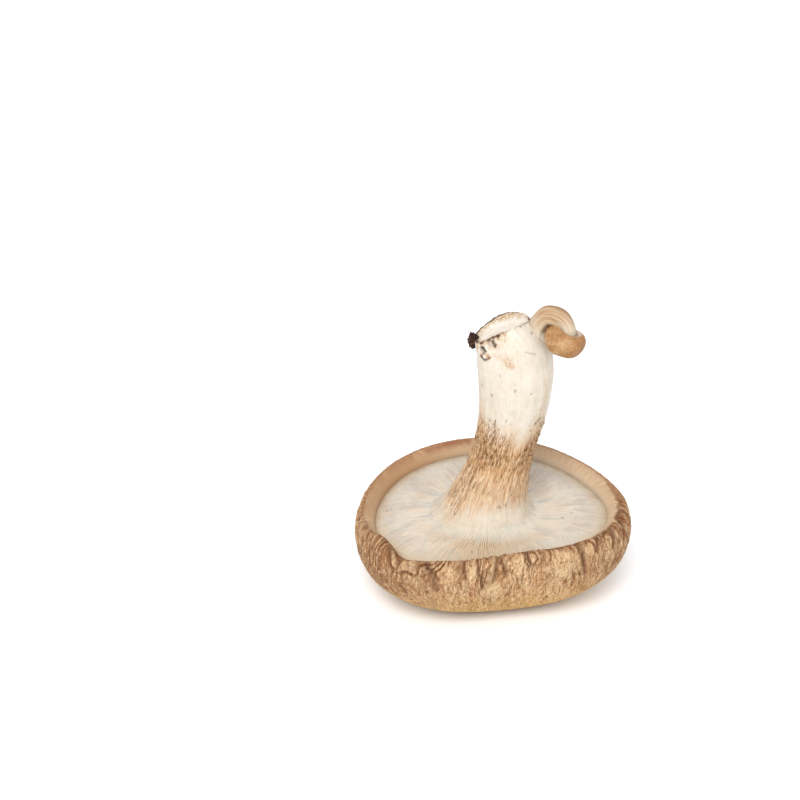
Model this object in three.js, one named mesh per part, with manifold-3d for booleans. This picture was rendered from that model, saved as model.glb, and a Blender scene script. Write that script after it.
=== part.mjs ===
// A shiitake mushroom as picked, standing upside down on the crown of its cap with the stem in the air.
// The cap is a deep bowl with a wrinkled skin and an inrolled rim. Thin gills fill its mouth in two lengths.
// The stem rises from a flared foot to a slanting cut, beside which a tiny second mushroom curls over.
// Millimetres, +Z up. The origin is the middle of the flat spot on the crown that the mushroom rests on.
// Angle 0 is +X, and angles grow towards +Y, anticlockwise seen from above.
// Shares of the outline are radii, with 1 at the cap's widest ring.
import * as THREE from "three";
import { mergeVertices } from "three/addons/utils/BufferGeometryUtils.js";
import Module from "manifold-3d";

const wasm = await Module();
wasm.setup();

const CAP_RADIUS = 33.0; // mean radius of the cap's outline
const CAP_DEPTH = 22.6; // crown to the crest of the rim, on average
const CROWN_FLAT = 0.31; // radius of the flat spot on the crown, as a share of the outline
const BELLY_POWER = 2.4; // roundness of the skin from the flat spot to the widest ring
const WIDEST_AT = 0.8; // height of the widest ring, as a share of the cap's depth
const CREST_AT = 0.95; // radius of the rim's crest, as a share of the outline
const GILL_EDGE_AT = 0.86; // radius where the gills end and the bare inner rim begins
const STEM_SEAT_AT = 0.44; // radius of the level seat under the stem
const GILL_DROP = 3.4; // how far the gills' outer ends lie below the crest
const GILL_ARCH = 0.6; // how far their free edges bulge up between the stem and the rim
const GILL_DEPTH = 4.4; // depth of the gills near the stem
const GILL_DEPTH_AT_EDGE = 2.4; // and at the rim
const GILL_WEB = 1.1; // thickness of the flesh that carries the gills
const GILL_THICKNESS = 0.6; // at the free edge
const GILL_ROOT_THICKNESS = 0.76;
const LONG_GILLS = 72; // each is followed by a short one that starts partway out
const SHORT_GILL_START = 0.68;
const GAP = 0.3; // between pieces that touch

const CAP_COLUMNS = 144;
const STEM_COLUMNS = 36;
const SHOOT_COLUMNS = 16;
const SHOOT_STEPS = 22;
const PIN_CAP_COLUMNS = 32;
const WRINKLE_HEIGHT = 0.42; // of the folds in the skin at the rim
const STEM_RIB_HEIGHT = 0.16;

const TAU = 2 * Math.PI;
const degrees = THREE.MathUtils.degToRad;
const smooth = THREE.MathUtils.smoothstep;
const mix = THREE.MathUtils.lerp;
const polar = (angle, radius, height) =>
  new THREE.Vector3(radius * Math.cos(angle), radius * Math.sin(angle), height);
const bump = (angle, centre, halfWidth) => {
  const away = Math.atan2(Math.sin(angle - centre), Math.cos(angle - centre));
  return Math.exp(-((away / halfWidth) ** 2));
};

// A ring is a closed row of points, each with its place along the row from 0 to 1.
const ring = (count, place) => ({
  points: Array.from({ length: count }, (_, i) => place((i * TAU) / count)),
  at: Array.from({ length: count }, (_, i) => i / count),
});

// Faces between two rings of any size. Each step moves on along the ring whose next point comes first.
function facesBetween(a, b, startA, startB) {
  const faces = [];
  const [m, n] = [a.points.length, b.points.length];
  const next = (r, i) => (i + 1 < r.at.length ? r.at[i + 1] : 1 + r.at[0]);
  let [i, j] = [0, 0];
  while (i < m || j < n) {
    const [p, q] = [startA + (i % m), startB + (j % n)];
    if (j === n || (i < m && next(a, i) <= next(b, j))) {
      faces.push([p, startA + ((i + 1) % m), q]);
      i += 1;
    } else {
      faces.push([p, startB + ((j + 1) % n), q]);
      j += 1;
    }
  }
  return faces;
}

// One closed surface through a stack of rings. It closes on the middles of its end rings, or, looped,
// joins the last ring to the first. Where the stack grows outward, its faces look outward and down.
function closedThrough(rings, looped = false) {
  const points = [];
  const faces = [];
  const starts = rings.map((r) => points.push(...r.points) - r.points.length);
  const pairs = looped ? rings.length : rings.length - 1;
  for (let k = 0; k < pairs; k++) {
    const after = (k + 1) % rings.length;
    faces.push(...facesBetween(rings[k], rings[after], starts[k], starts[after]));
  }
  const close = (index, turned) => {
    const own = rings[index].points;
    const middle = points.push(middleOf(own)) - 1;
    own.forEach((_, i) => {
      const [p, q] = [starts[index] + i, starts[index] + ((i + 1) % own.length)];
      faces.push(turned ? [middle, q, p] : [middle, p, q]);
    });
  };
  if (!looped) {
    close(0, true);
    close(rings.length - 1, false);
  }
  return new THREE.BufferGeometry()
    .setAttribute("position", new THREE.Float32BufferAttribute(points.flatMap((p) => p.toArray()), 3))
    .setIndex(faces.flat());
}

const middleOf = (points) =>
  points.reduce((sum, p) => sum.add(p), new THREE.Vector3()).divideScalar(points.length);

function toSolid(geometry) {
  const bare = geometry.clone();
  bare.deleteAttribute("normal");
  bare.deleteAttribute("uv");
  const merged = mergeVertices(bare, 1e-4);
  return new wasm.Manifold(
    new wasm.Mesh({
      numProp: 3,
      vertProperties: merged.attributes.position.array,
      triVerts: new Uint32Array(merged.index.array),
    }),
  );
}

function toGeometry(solid) {
  const mesh = solid.getMesh();
  return new THREE.BufferGeometry()
    .setAttribute("position", new THREE.BufferAttribute(mesh.vertProperties, 3))
    .setIndex(new THREE.BufferAttribute(mesh.triVerts, 1));
}

// Cap: the skin from the flat spot to the rim, over the crest, down the bare inner rim, and the gills' seat.

// The outline is a little wider than deep, with three soft corners.
const outlineAt = (angle) =>
  CAP_RADIUS *
  (1 +
    0.073 * Math.cos(2 * (angle - degrees(3))) +
    0.061 * Math.cos(3 * (angle + degrees(20.5))) +
    0.02 * Math.cos(4 * (angle - degrees(57.5))));

// The rim stands highest at the back right, and has one curled lobe at the front left.
const depthAt = (angle) =>
  CAP_DEPTH *
  (1 + 0.08 * Math.cos(angle - degrees(31)) + 0.023 * Math.cos(2 * (angle - degrees(110))));
const LOBE = { centre: degrees(213), halfWidth: degrees(13), lift: 1.3 };
const lobeAt = (angle) => LOBE.lift * bump(angle, LOBE.centre, LOBE.halfWidth);

// Folds in the skin: three waves of different pitch whose crests wander as they run over the rim.
const foldsAt = (angle, run) =>
  0.5 * Math.sin(31 * angle + 1.9 * Math.sin(3 * angle) + 1.2 * run) +
  0.32 * Math.sin(47 * angle + 2.3 * Math.sin(5 * angle + 1) - 2.0 * run) +
  0.26 * Math.sin(17 * angle + 1.4 * Math.sin(2 * angle + 2) + 0.8 * run);

// The radius at a share of the outline, whose corners fade to a circle at the flat spot.
function radiusAt(angle, share) {
  const corners = Math.max(0, (share - CROWN_FLAT) / (1 - CROWN_FLAT));
  return share * mix(CAP_RADIUS, outlineAt(angle), corners);
}

// The share of the outline at a radius outside the flat spot, which turns radiusAt round.
function shareAt(angle, radius) {
  const growth = (outlineAt(angle) - CAP_RADIUS) / (1 - CROWN_FLAT);
  const base = CAP_RADIUS - growth * CROWN_FLAT;
  return (2 * radius) / (base + Math.sqrt(base ** 2 + 4 * growth * radius));
}

// A point of the rim or skin at a share of the outline and of the depth, moved outward and up in millimetres.
function capPoint(angle, share, heightShare, outward = 0, upward = 0) {
  const height = heightShare * (depthAt(angle) + lobeAt(angle) * heightShare ** 4);
  return polar(angle, radiusAt(angle, share) + outward, height + upward);
}

// The gills' free edges are level round the stem, and follow the rim's rise and fall further out.
const outward = (share) => smooth(share, STEM_SEAT_AT, GILL_EDGE_AT);
const gillTopAt = (angle, share) =>
  CAP_DEPTH -
  GILL_DROP +
  outward(share) * (depthAt(angle) - CAP_DEPTH) +
  GILL_ARCH * Math.sin(Math.PI * outward(share));
const seatAt = (angle, share) =>
  gillTopAt(angle, share) - mix(GILL_DEPTH, GILL_DEPTH_AT_EDGE, outward(share));
const SEAT_LEVEL = CAP_DEPTH - GILL_DROP - GILL_DEPTH;

function makeCap() {
  const belly = (turn) => [
    CROWN_FLAT + (1 - CROWN_FLAT) * Math.sin(turn) ** (2 / BELLY_POWER),
    WIDEST_AT * (1 - Math.cos(turn) ** (2 / BELLY_POWER)),
  ];
  const brim = (turn) => [
    CREST_AT + (1 - CREST_AT) * Math.cos(turn),
    WIDEST_AT + (1 - WIDEST_AT) * Math.sin(turn),
  ];
  const skinRing = (count, [share, height]) =>
    ring(count, (angle) => {
      const strength = WRINKLE_HEIGHT * smooth(height, 0.08, 0.62);
      return capPoint(angle, share, height, strength * foldsAt(angle, 4 * height));
    });
  const seatRing = (count, share, rise = 0) =>
    ring(count, (angle) => polar(angle, radiusAt(angle, share), seatAt(angle, share) + rise));
  const lowerWall = GILL_DEPTH_AT_EDGE;
  return closedThrough([
    ring(36, (angle) => capPoint(angle, CROWN_FLAT, 0)),
    skinRing(36, belly(degrees(14))),
    skinRing(72, belly(degrees(27))),
    skinRing(72, belly(degrees(40))),
    ...[51, 61, 70, 79, 90].map((turn) => skinRing(CAP_COLUMNS, belly(degrees(turn)))),
    ...[28, 56, 90].map((turn) => skinRing(CAP_COLUMNS, brim(degrees(turn)))),
    ring(CAP_COLUMNS, (angle) => capPoint(angle, 0.915, 1, 0, -1.1)),
    ring(72, (angle) => capPoint(angle, 0.885, 1, 0, -2.3)),
    seatRing(72, GILL_EDGE_AT, lowerWall),
    seatRing(72, GILL_EDGE_AT - 0.004),
    seatRing(36, 0.65),
    seatRing(36, STEM_SEAT_AT),
  ]);
}

// Stem: rings from the foot to the shoulder, then the slanting cut.

// Height, the ring's middle in X and Y, and its radii in X and Y.
const STEM_RINGS = [
  [SEAT_LEVEL + GAP, 0.0, 0.0, 13.2, 12.8],
  [17.0, 0.0, 0.0, 13.0, 12.6],
  [19.2, 0.0, 0.0, 12.1, 11.7],
  [21.0, 0.1, 0.0, 11.1, 10.8],
  [23.0, 0.3, 0.1, 10.2, 9.9],
  [26.0, 0.8, 0.2, 9.4, 9.0],
  [30.0, 1.7, 0.3, 8.6, 8.2],
  [34.5, 3.0, 0.5, 7.8, 7.6],
  [39.5, 4.3, 0.7, 7.6, 7.4],
  [45.0, 5.4, 0.8, 8.2, 7.8],
  [50.5, 6.1, 0.9, 8.8, 8.3],
  [56.0, 6.3, 0.9, 9.3, 8.7],
  [61.5, 6.0, 0.9, 9.5, 8.9],
  [65.5, 5.5, 0.9, 9.2, 8.6],
];
const FLARE = { centre: degrees(185), spread: 1.6, from: 19, to: 30 };
const CUT = { height: 71.5, x: 2.2, y: 0.3, radiusX: 6.6, radiusY: 5.9, slope: 0.38, hollow: 0.9 };
const CUT_BEVEL = { depth: 2.2, width: 0.9 };
const NUB = { length: 0.9, halfWidth: 0.24 };

const flareAt = (angle, height) =>
  FLARE.spread *
  Math.max(0, Math.cos(angle - FLARE.centre)) *
  (1 - smooth(height, FLARE.from, FLARE.to));

const stemRibs = (angle, height) =>
  STEM_RIB_HEIGHT *
  (Math.sin(9 * angle + 0.06 * height) + 0.7 * Math.sin(5 * angle - 0.05 * height + 1));

const stemRing = ([height, x, y, radiusX, radiusY]) =>
  ring(STEM_COLUMNS, (angle) => {
    const more = flareAt(angle, height) + stemRibs(angle, height);
    return new THREE.Vector3(
      x + (radiusX + more) * Math.cos(angle),
      y + (radiusY + more) * Math.sin(angle),
      height,
    );
  });

// A ring of the slanting cut, at a share of its radius and a drop below its edge. Its left end is a torn nub.
const cutRing = (share, drop, outward = 0) =>
  ring(STEM_COLUMNS, (angle) => {
    const torn = drop > 0 ? 0 : NUB.length * bump(angle, Math.PI, NUB.halfWidth);
    const x = CUT.x + (CUT.radiusX * share + outward + torn) * Math.cos(angle);
    const y = CUT.y + (CUT.radiusY * share + outward) * Math.sin(angle);
    const ragged = share * (0.25 * Math.sin(4 * angle + 1) + 0.15 * Math.sin(7 * angle));
    return new THREE.Vector3(x, y, CUT.height + CUT.slope * (x - CUT.x) + ragged - drop);
  });

function stemShape() {
  return closedThrough([
    ...STEM_RINGS.map(stemRing),
    cutRing(1, CUT_BEVEL.depth, CUT_BEVEL.width),
    cutRing(1, 0),
    cutRing(0.8, 0.7 * CUT.hollow),
    cutRing(0.4, CUT.hollow),
  ]);
}

// Side shoot: the stem of a tiny second mushroom, from the right shoulder over and down into its own cap.
const SHOOT_PATH = new THREE.CatmullRomCurve3([
  new THREE.Vector3(9.6, 0.0, 66.4),
  new THREE.Vector3(11.3, -0.6, 70.9),
  new THREE.Vector3(12.2, -1.3, 74.0),
  new THREE.Vector3(14.6, -2.6, 76.6),
  new THREE.Vector3(17.3, -4.1, 76.0),
  new THREE.Vector3(18.3, -5.0, 73.8),
  new THREE.Vector3(18.1, -5.6, 71.2),
]);
const SHOOT_RADIUS_AT_ROOT = 3.0;
const SHOOT_RADIUS = 2.05;

function makeShoot() {
  const { tangents, normals, binormals } = SHOOT_PATH.computeFrenetFrames(SHOOT_STEPS);
  const rings = tangents.map((_, k) => {
    const along = k / SHOOT_STEPS;
    const radius = mix(SHOOT_RADIUS_AT_ROOT, SHOOT_RADIUS, smooth(along, 0, 0.5));
    const middle = SHOOT_PATH.getPointAt(along);
    return ring(SHOOT_COLUMNS, (angle) =>
      middle
        .clone()
        .addScaledVector(normals[k], radius * Math.cos(angle))
        .addScaledVector(binormals[k], radius * Math.sin(angle)),
    );
  });
  return closedThrough(rings);
}

const makeStem = () => toGeometry(toSolid(stemShape()).add(toSolid(makeShoot())));

// Gills: a web of flesh in the seat with upright blades on it, long and short in turn.

// How far the stem's foot reaches at a height, to keep the gills' inner ends clear of it.
function footRadiusAt(angle, height) {
  const above = STEM_RINGS.findIndex((row) => row[0] >= height);
  const [low, high] = [STEM_RINGS[above - 1], STEM_RINGS[above]];
  const radii = mix(low[3], high[3], (height - low[0]) / (high[0] - low[0]));
  return radii + flareAt(angle, height) + 1.7 * STEM_RIB_HEIGHT;
}

// A ring across the blades: each blade is crossed at its root, free edge, free edge and root again.
// Long blades stand to a share of their full height, and short ones too unless they are left out.
function gillRing(radiusOf, longRise, shortRise = null) {
  const points = [];
  const at = [];
  const halfRoot = GILL_ROOT_THICKNESS / 2;
  const halfEdge = GILL_THICKNESS / 2;
  const cross = (turn, rise) => {
    const angle = turn * TAU;
    const sides = [
      [-halfRoot, 0, -0.15],
      [-halfEdge, rise, -0.05],
      [halfEdge, rise, 0.05],
      [halfRoot, 0, 0.15],
    ];
    for (const [aside, height, place] of sides) {
      const radius = radiusOf(angle, height);
      const share = shareAt(angle, radius);
      const floor = seatAt(angle, share) + GAP + GILL_WEB;
      const top = gillTopAt(angle, share);
      const p = polar(angle, radius, mix(floor, top, height));
      const across = polar(angle + Math.PI / 2, aside, 0);
      points.push(p.add(across));
      at.push(turn + place / LONG_GILLS);
    }
  };
  for (let i = 0; i < LONG_GILLS; i++) {
    cross(i / LONG_GILLS, longRise);
    if (shortRise !== null) cross((i + 0.5) / LONG_GILLS, shortRise);
  }
  return { points, at };
}

function makeGills() {
  const rimEnd = (angle) => radiusAt(angle, GILL_EDGE_AT - 0.004) - GAP;
  const sharePlace = (share) => (angle) => radiusAt(angle, share);
  const webTop = SEAT_LEVEL + GAP + GILL_WEB;
  const footEnd = (angle, rise) =>
    GAP + footRadiusAt(angle, mix(webTop, CAP_DEPTH - GILL_DROP, rise));
  const webFloor = (radiusOf) =>
    ring(LONG_GILLS, (angle) => {
      const radius = radiusOf(angle, 0);
      return polar(angle, radius, seatAt(angle, shareAt(angle, radius)) + GAP);
    });
  return closedThrough(
    [
      webFloor(rimEnd),
      gillRing((angle) => rimEnd(angle), 0, 0),
      gillRing((angle, rise) => rimEnd(angle) - (rise > 0 ? 0.25 : 0.5), 0.82, 0.82),
      gillRing(sharePlace(SHORT_GILL_START + 0.07), 1, 0.9),
      gillRing(sharePlace(SHORT_GILL_START), 1, 0),
      gillRing((angle, rise) => footEnd(angle, rise) + (rise > 0 ? 0 : 0.6), 1),
      gillRing((angle) => footEnd(angle, 0), 0),
      webFloor(footEnd),
      webFloor(sharePlace(0.65)),
    ],
    true,
  );
}

// Cap of the side shoot: a small bun that hangs crown down on the end of the curled stem.
const PIN_CAP = { radius: 5.0, height: 6.6, middle: [17.7, -5.8, 70.1], tiltX: -8, tiltY: 10 };

// Radius as a share of the bun's radius, and height as a share of its height, from the crown to the socket.
const PIN_CAP_PROFILE = [
  [0.28, 0.0],
  [0.55, 0.06],
  [0.78, 0.2],
  [0.94, 0.4],
  [1.0, 0.62],
  [0.95, 0.82],
  [0.82, 0.96],
  [0.68, 1.0],
  [0.61, 0.93],
  [0.56, 0.76],
  [0.52, 0.55],
];

function makePinCap() {
  const rings = PIN_CAP_PROFILE.map(([share, height]) =>
    ring(PIN_CAP_COLUMNS, (angle) => {
      const lopsided = 1 + 0.05 * Math.cos(2 * angle - 0.4) + 0.015 * Math.sin(5 * angle);
      return polar(angle, PIN_CAP.radius * share * lopsided, PIN_CAP.height * (height - 0.5));
    }),
  );
  return closedThrough(rings)
    .rotateX(degrees(PIN_CAP.tiltX))
    .rotateY(degrees(PIN_CAP.tiltY))
    .translate(...PIN_CAP.middle);
}

function piece(name, geometry, color, roughness) {
  const mesh = new THREE.Mesh(geometry, new THREE.MeshStandardMaterial({ color, roughness, metalness: 0 }));
  mesh.name = name;
  return mesh;
}

const mushroom = new THREE.Group();
mushroom.add(
  piece("cap", makeCap(), 0xb88a5c, 0.75),
  piece("gills", makeGills(), 0xe9dfd2, 0.85),
  piece("stem", makeStem(), 0xeee0c4, 0.8),
  piece("pin_cap", makePinCap(), 0xb9854f, 0.7),
);

export default mushroom;
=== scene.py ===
"""A shiitake mushroom standing upside down on the crown of its cap, with its gills, stem and a tiny side mushroom.

Lengths are metres, made from millimetres by MM. Angle 0 is +X, growing towards +Y. Shares of the cap's outline
are radii, with 1 at its widest ring, and heights grow from the crown, which rests on the floor, to the rim.
"""

import logging
import math
from dataclasses import dataclass, field
from enum import Enum
from typing import Any, Callable, Sequence

import bmesh
import bpy
import numpy as np
from mathutils import Euler, Matrix, Vector, noise


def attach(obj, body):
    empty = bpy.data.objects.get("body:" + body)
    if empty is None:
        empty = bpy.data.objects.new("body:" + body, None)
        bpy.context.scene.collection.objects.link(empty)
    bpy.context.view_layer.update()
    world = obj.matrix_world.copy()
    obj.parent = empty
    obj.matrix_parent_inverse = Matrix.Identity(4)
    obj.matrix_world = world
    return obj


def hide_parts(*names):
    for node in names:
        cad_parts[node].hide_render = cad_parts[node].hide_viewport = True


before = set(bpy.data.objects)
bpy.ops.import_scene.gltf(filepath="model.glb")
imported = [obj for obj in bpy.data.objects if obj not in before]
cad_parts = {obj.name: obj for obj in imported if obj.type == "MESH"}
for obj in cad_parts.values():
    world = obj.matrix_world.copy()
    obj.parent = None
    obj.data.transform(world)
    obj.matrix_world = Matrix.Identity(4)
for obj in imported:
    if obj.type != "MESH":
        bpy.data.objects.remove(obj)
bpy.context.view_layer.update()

Socket = bpy.types.NodeSocket
log = logging.getLogger("mushroom")
MM = 0.001
TAU = math.tau
SECTORS = 16
STUDIO_GAIN = 1.14
FLESH_SCATTER = (1.0, 0.6, 0.35)


def smoothstep(x: Any, low: float, high: float) -> Any:
    """Rise smoothly from 0 at low to 1 at high."""
    t = np.clip((np.asarray(x, float) - low) / (high - low), 0.0, 1.0)
    return t * t * (3.0 - 2.0 * t)


def bump(angle: Any, centre_deg: float, half_width_deg: float) -> Any:
    """A soft bump of height 1 round an angle."""
    centre, half_width = math.radians(centre_deg), math.radians(half_width_deg)
    away = np.arctan2(np.sin(angle - centre), np.cos(angle - centre))
    return np.exp(-((away / half_width) ** 2))


def curve_through(x: Any, rows: Sequence[Sequence[float]], column: int) -> np.ndarray:
    """A smooth curve through one column of a table.

    Args:
        x: Where to read the curve, in the units of the table's first column.
        rows: The table, in rising order of its first column.
        column: The column that the curve goes through.

    Returns:
        The curve's value at each x.
    """
    table = np.asarray(rows, float)
    xs, ys = table[:, 0], table[:, column]
    slopes = np.gradient(ys, xs)
    x = np.clip(np.asarray(x, float), xs[0], xs[-1])
    k = np.clip(np.searchsorted(xs, x, side="right") - 1, 0, len(xs) - 2)
    span = xs[k + 1] - xs[k]
    t = (x - xs[k]) / span
    return (
        (2 * t**3 - 3 * t**2 + 1) * ys[k]
        + (t**3 - 2 * t**2 + t) * span * slopes[k]
        + (3 * t**2 - 2 * t**3) * ys[k + 1]
        + (t**3 - t**2) * span * slopes[k + 1]
    )


def noise_at(points: np.ndarray) -> np.ndarray:
    """Gradient noise from -1 to 1 at each point, with cells one unit wide."""
    return np.fromiter((noise.noise(p) for p in points.tolist()), float, len(points))


def noise_round(angle: np.ndarray, run: np.ndarray, pitch: float, stretch: float, seed: float) -> np.ndarray:
    """Noise that runs round an axis with no seam.

    Args:
        angle: Angle round the axis of each point.
        run: How far along the surface each point is, in millimetres.
        pitch: Cells in one radian.
        stretch: Cells in one millimetre along the surface.
        seed: Moves the pattern to another part of the noise.

    Returns:
        The noise at each point, from -1 to 1.
    """
    x, y = np.cos(angle) * pitch + seed, np.sin(angle) * pitch - seed
    return noise_at(np.stack([x, y, run * stretch + seed], axis=1))


def angle_of(points: np.ndarray) -> np.ndarray:
    """The angle of each point round Z."""
    return np.arctan2(points[:, 1], points[:, 0])


def radius_of(points: np.ndarray) -> np.ndarray:
    """How far each point is from Z."""
    return np.hypot(points[:, 0], points[:, 1])


def placed(angle: np.ndarray, radius: Any, height: np.ndarray) -> np.ndarray:
    """Points given by their angle, radius and height."""
    return np.stack([radius * np.cos(angle), radius * np.sin(angle), height], axis=1)


def unit(vectors: np.ndarray) -> np.ndarray:
    """Each vector made one unit long."""
    return vectors / np.linalg.norm(vectors, axis=1)[:, None]


def points_of(mesh: bpy.types.Mesh) -> np.ndarray:
    """The vertices of a mesh as an array."""
    flat = np.empty(len(mesh.vertices) * 3)
    mesh.vertices.foreach_get("co", flat)
    return flat.reshape(-1, 3)


def normals_of(mesh: bpy.types.Mesh) -> np.ndarray:
    """The vertex normals of a mesh as an array."""
    flat = np.empty(len(mesh.vertices) * 3, np.float32)
    mesh.vertex_normals.foreach_get("vector", flat)
    return flat.reshape(-1, 3).astype(float)


def set_points(mesh: bpy.types.Mesh, points: np.ndarray) -> None:
    """Move the vertices of a mesh to new places."""
    mesh.vertices.foreach_set("co", points.astype(np.float32).ravel())
    mesh.update()


def mark(mesh: bpy.types.Mesh, name: str, values: np.ndarray) -> None:
    """Store a number or a vector for each vertex, for the finish to read."""
    kind, slot = ("FLOAT_VECTOR", "vector") if values.ndim == 2 else ("FLOAT", "value")
    layer = mesh.attributes.new(name, kind, "POINT")
    layer.data.foreach_set(slot, values.astype(np.float32).ravel())


def mark_ridges(mesh: bpy.types.Mesh, name: str, angle: np.ndarray, count: int, wander: np.ndarray) -> None:
    """Store the phase of ridges that run round a turned mesh, unbroken where the angle starts again.

    Args:
        mesh: The mesh.
        name: The attribute's name.
        angle: Angle of each vertex round the axis.
        count: Ridges in a full turn.
        wander: What is added to each vertex's phase.
    """
    verts = np.empty(len(mesh.loops), int)
    mesh.loops.foreach_get("vertex_index", verts)
    starts = np.empty(len(mesh.polygons), int)
    mesh.polygons.foreach_get("loop_start", starts)
    around_face = angle[verts]
    low, high = np.minimum.reduceat(around_face, starts), np.maximum.reduceat(around_face, starts)
    sizes = np.diff(np.append(starts, len(verts)))
    crosses = np.repeat(high - low > math.pi, sizes)
    around_face = np.where(crosses & (around_face < 0), around_face + TAU, around_face)
    layer = mesh.attributes.new(name, "FLOAT", "CORNER")
    phase = count * around_face / 2 + wander[verts]
    layer.data.foreach_set("value", phase.astype(np.float32))


def read(mesh: bpy.types.Mesh, name: str) -> np.ndarray:
    """The numbers stored on the vertices of a mesh."""
    values = np.empty(len(mesh.vertices), np.float32)
    mesh.attributes[name].data.foreach_get("value", values)
    return values.astype(float)


def turned(name: str, profile: Sequence[tuple[float, float]], columns: int) -> bpy.types.Object:
    """Turn a profile about Z into a closed surface whose ends lie on the axis.

    Args:
        name: The new object's name.
        profile: Radius and height of each point, in millimetres, from the lower end to the upper.
        columns: Points in each ring.

    Returns:
        The object, in millimetres, with the distance along the profile kept as the attribute run.
    """
    bm = bmesh.new()
    run = bm.verts.layers.float.new("run")
    previous, length = None, 0.0
    for radius, height in profile:
        vert = bm.verts.new((radius, 0.0, height))
        if previous is not None:
            length += (vert.co - previous.co).length
            bm.edges.new((previous, vert))
        vert[run] = length
        previous = vert
    bmesh.ops.spin(
        bm,
        geom=bm.verts[:] + bm.edges[:],
        axis=(0, 0, 1),
        cent=(0, 0, 0),
        angle=TAU / SECTORS,
        steps=columns // SECTORS,
        use_merge=False,
    )
    turn = TAU / SECTORS
    while turn < TAU - 1e-6:
        verts = copied(bm, everything(bm))
        bmesh.ops.rotate(bm, verts=verts, cent=(0, 0, 0), matrix=Matrix.Rotation(turn, 3, "Z"))
        turn *= 2
    bmesh.ops.remove_doubles(bm, verts=bm.verts[:], dist=1e-5)
    return settled(bm, name)


def everything(bm: bmesh.types.BMesh) -> list[Any]:
    """All of a bmesh's vertices, edges and faces."""
    return bm.verts[:] + bm.edges[:] + bm.faces[:]


def copied(bm: bmesh.types.BMesh, geometry: list[Any]) -> list[bmesh.types.BMVert]:
    """Copy some geometry in place and give the copy's vertices."""
    return [item for item in bmesh.ops.duplicate(bm, geom=geometry)["geom"] if isinstance(item, bmesh.types.BMVert)]


def numbered(bm: bmesh.types.BMesh, geometry: list[Any], number: Any, add: int) -> None:
    """Copy some geometry in place and raise the copy's numbers."""
    for vert in copied(bm, geometry):
        vert[number] += add


def settled(bm: bmesh.types.BMesh, name: str) -> bpy.types.Object:
    """Turn a finished bmesh into a smooth object with its faces outwards."""
    bmesh.ops.recalc_face_normals(bm, faces=bm.faces[:])
    mesh = bpy.data.meshes.new(name)
    bm.to_mesh(mesh)
    bm.free()
    mesh.shade_smooth()
    piece = bpy.data.objects.new(name, mesh)
    bpy.context.scene.collection.objects.link(piece)
    return piece


def srgb(code: str) -> tuple[float, float, float, float]:
    """A colour given as six hexadecimal digits, as it looks in the studio's bright light."""
    parts = [int(code[k : k + 2], 16) / 255 for k in (0, 2, 4)]
    linear = [p / 12.92 if p <= 0.04045 else ((p + 0.055) / 1.055) ** 2.4 for p in parts]
    return (*(p / STUDIO_GAIN for p in linear), 1.0)


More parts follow.
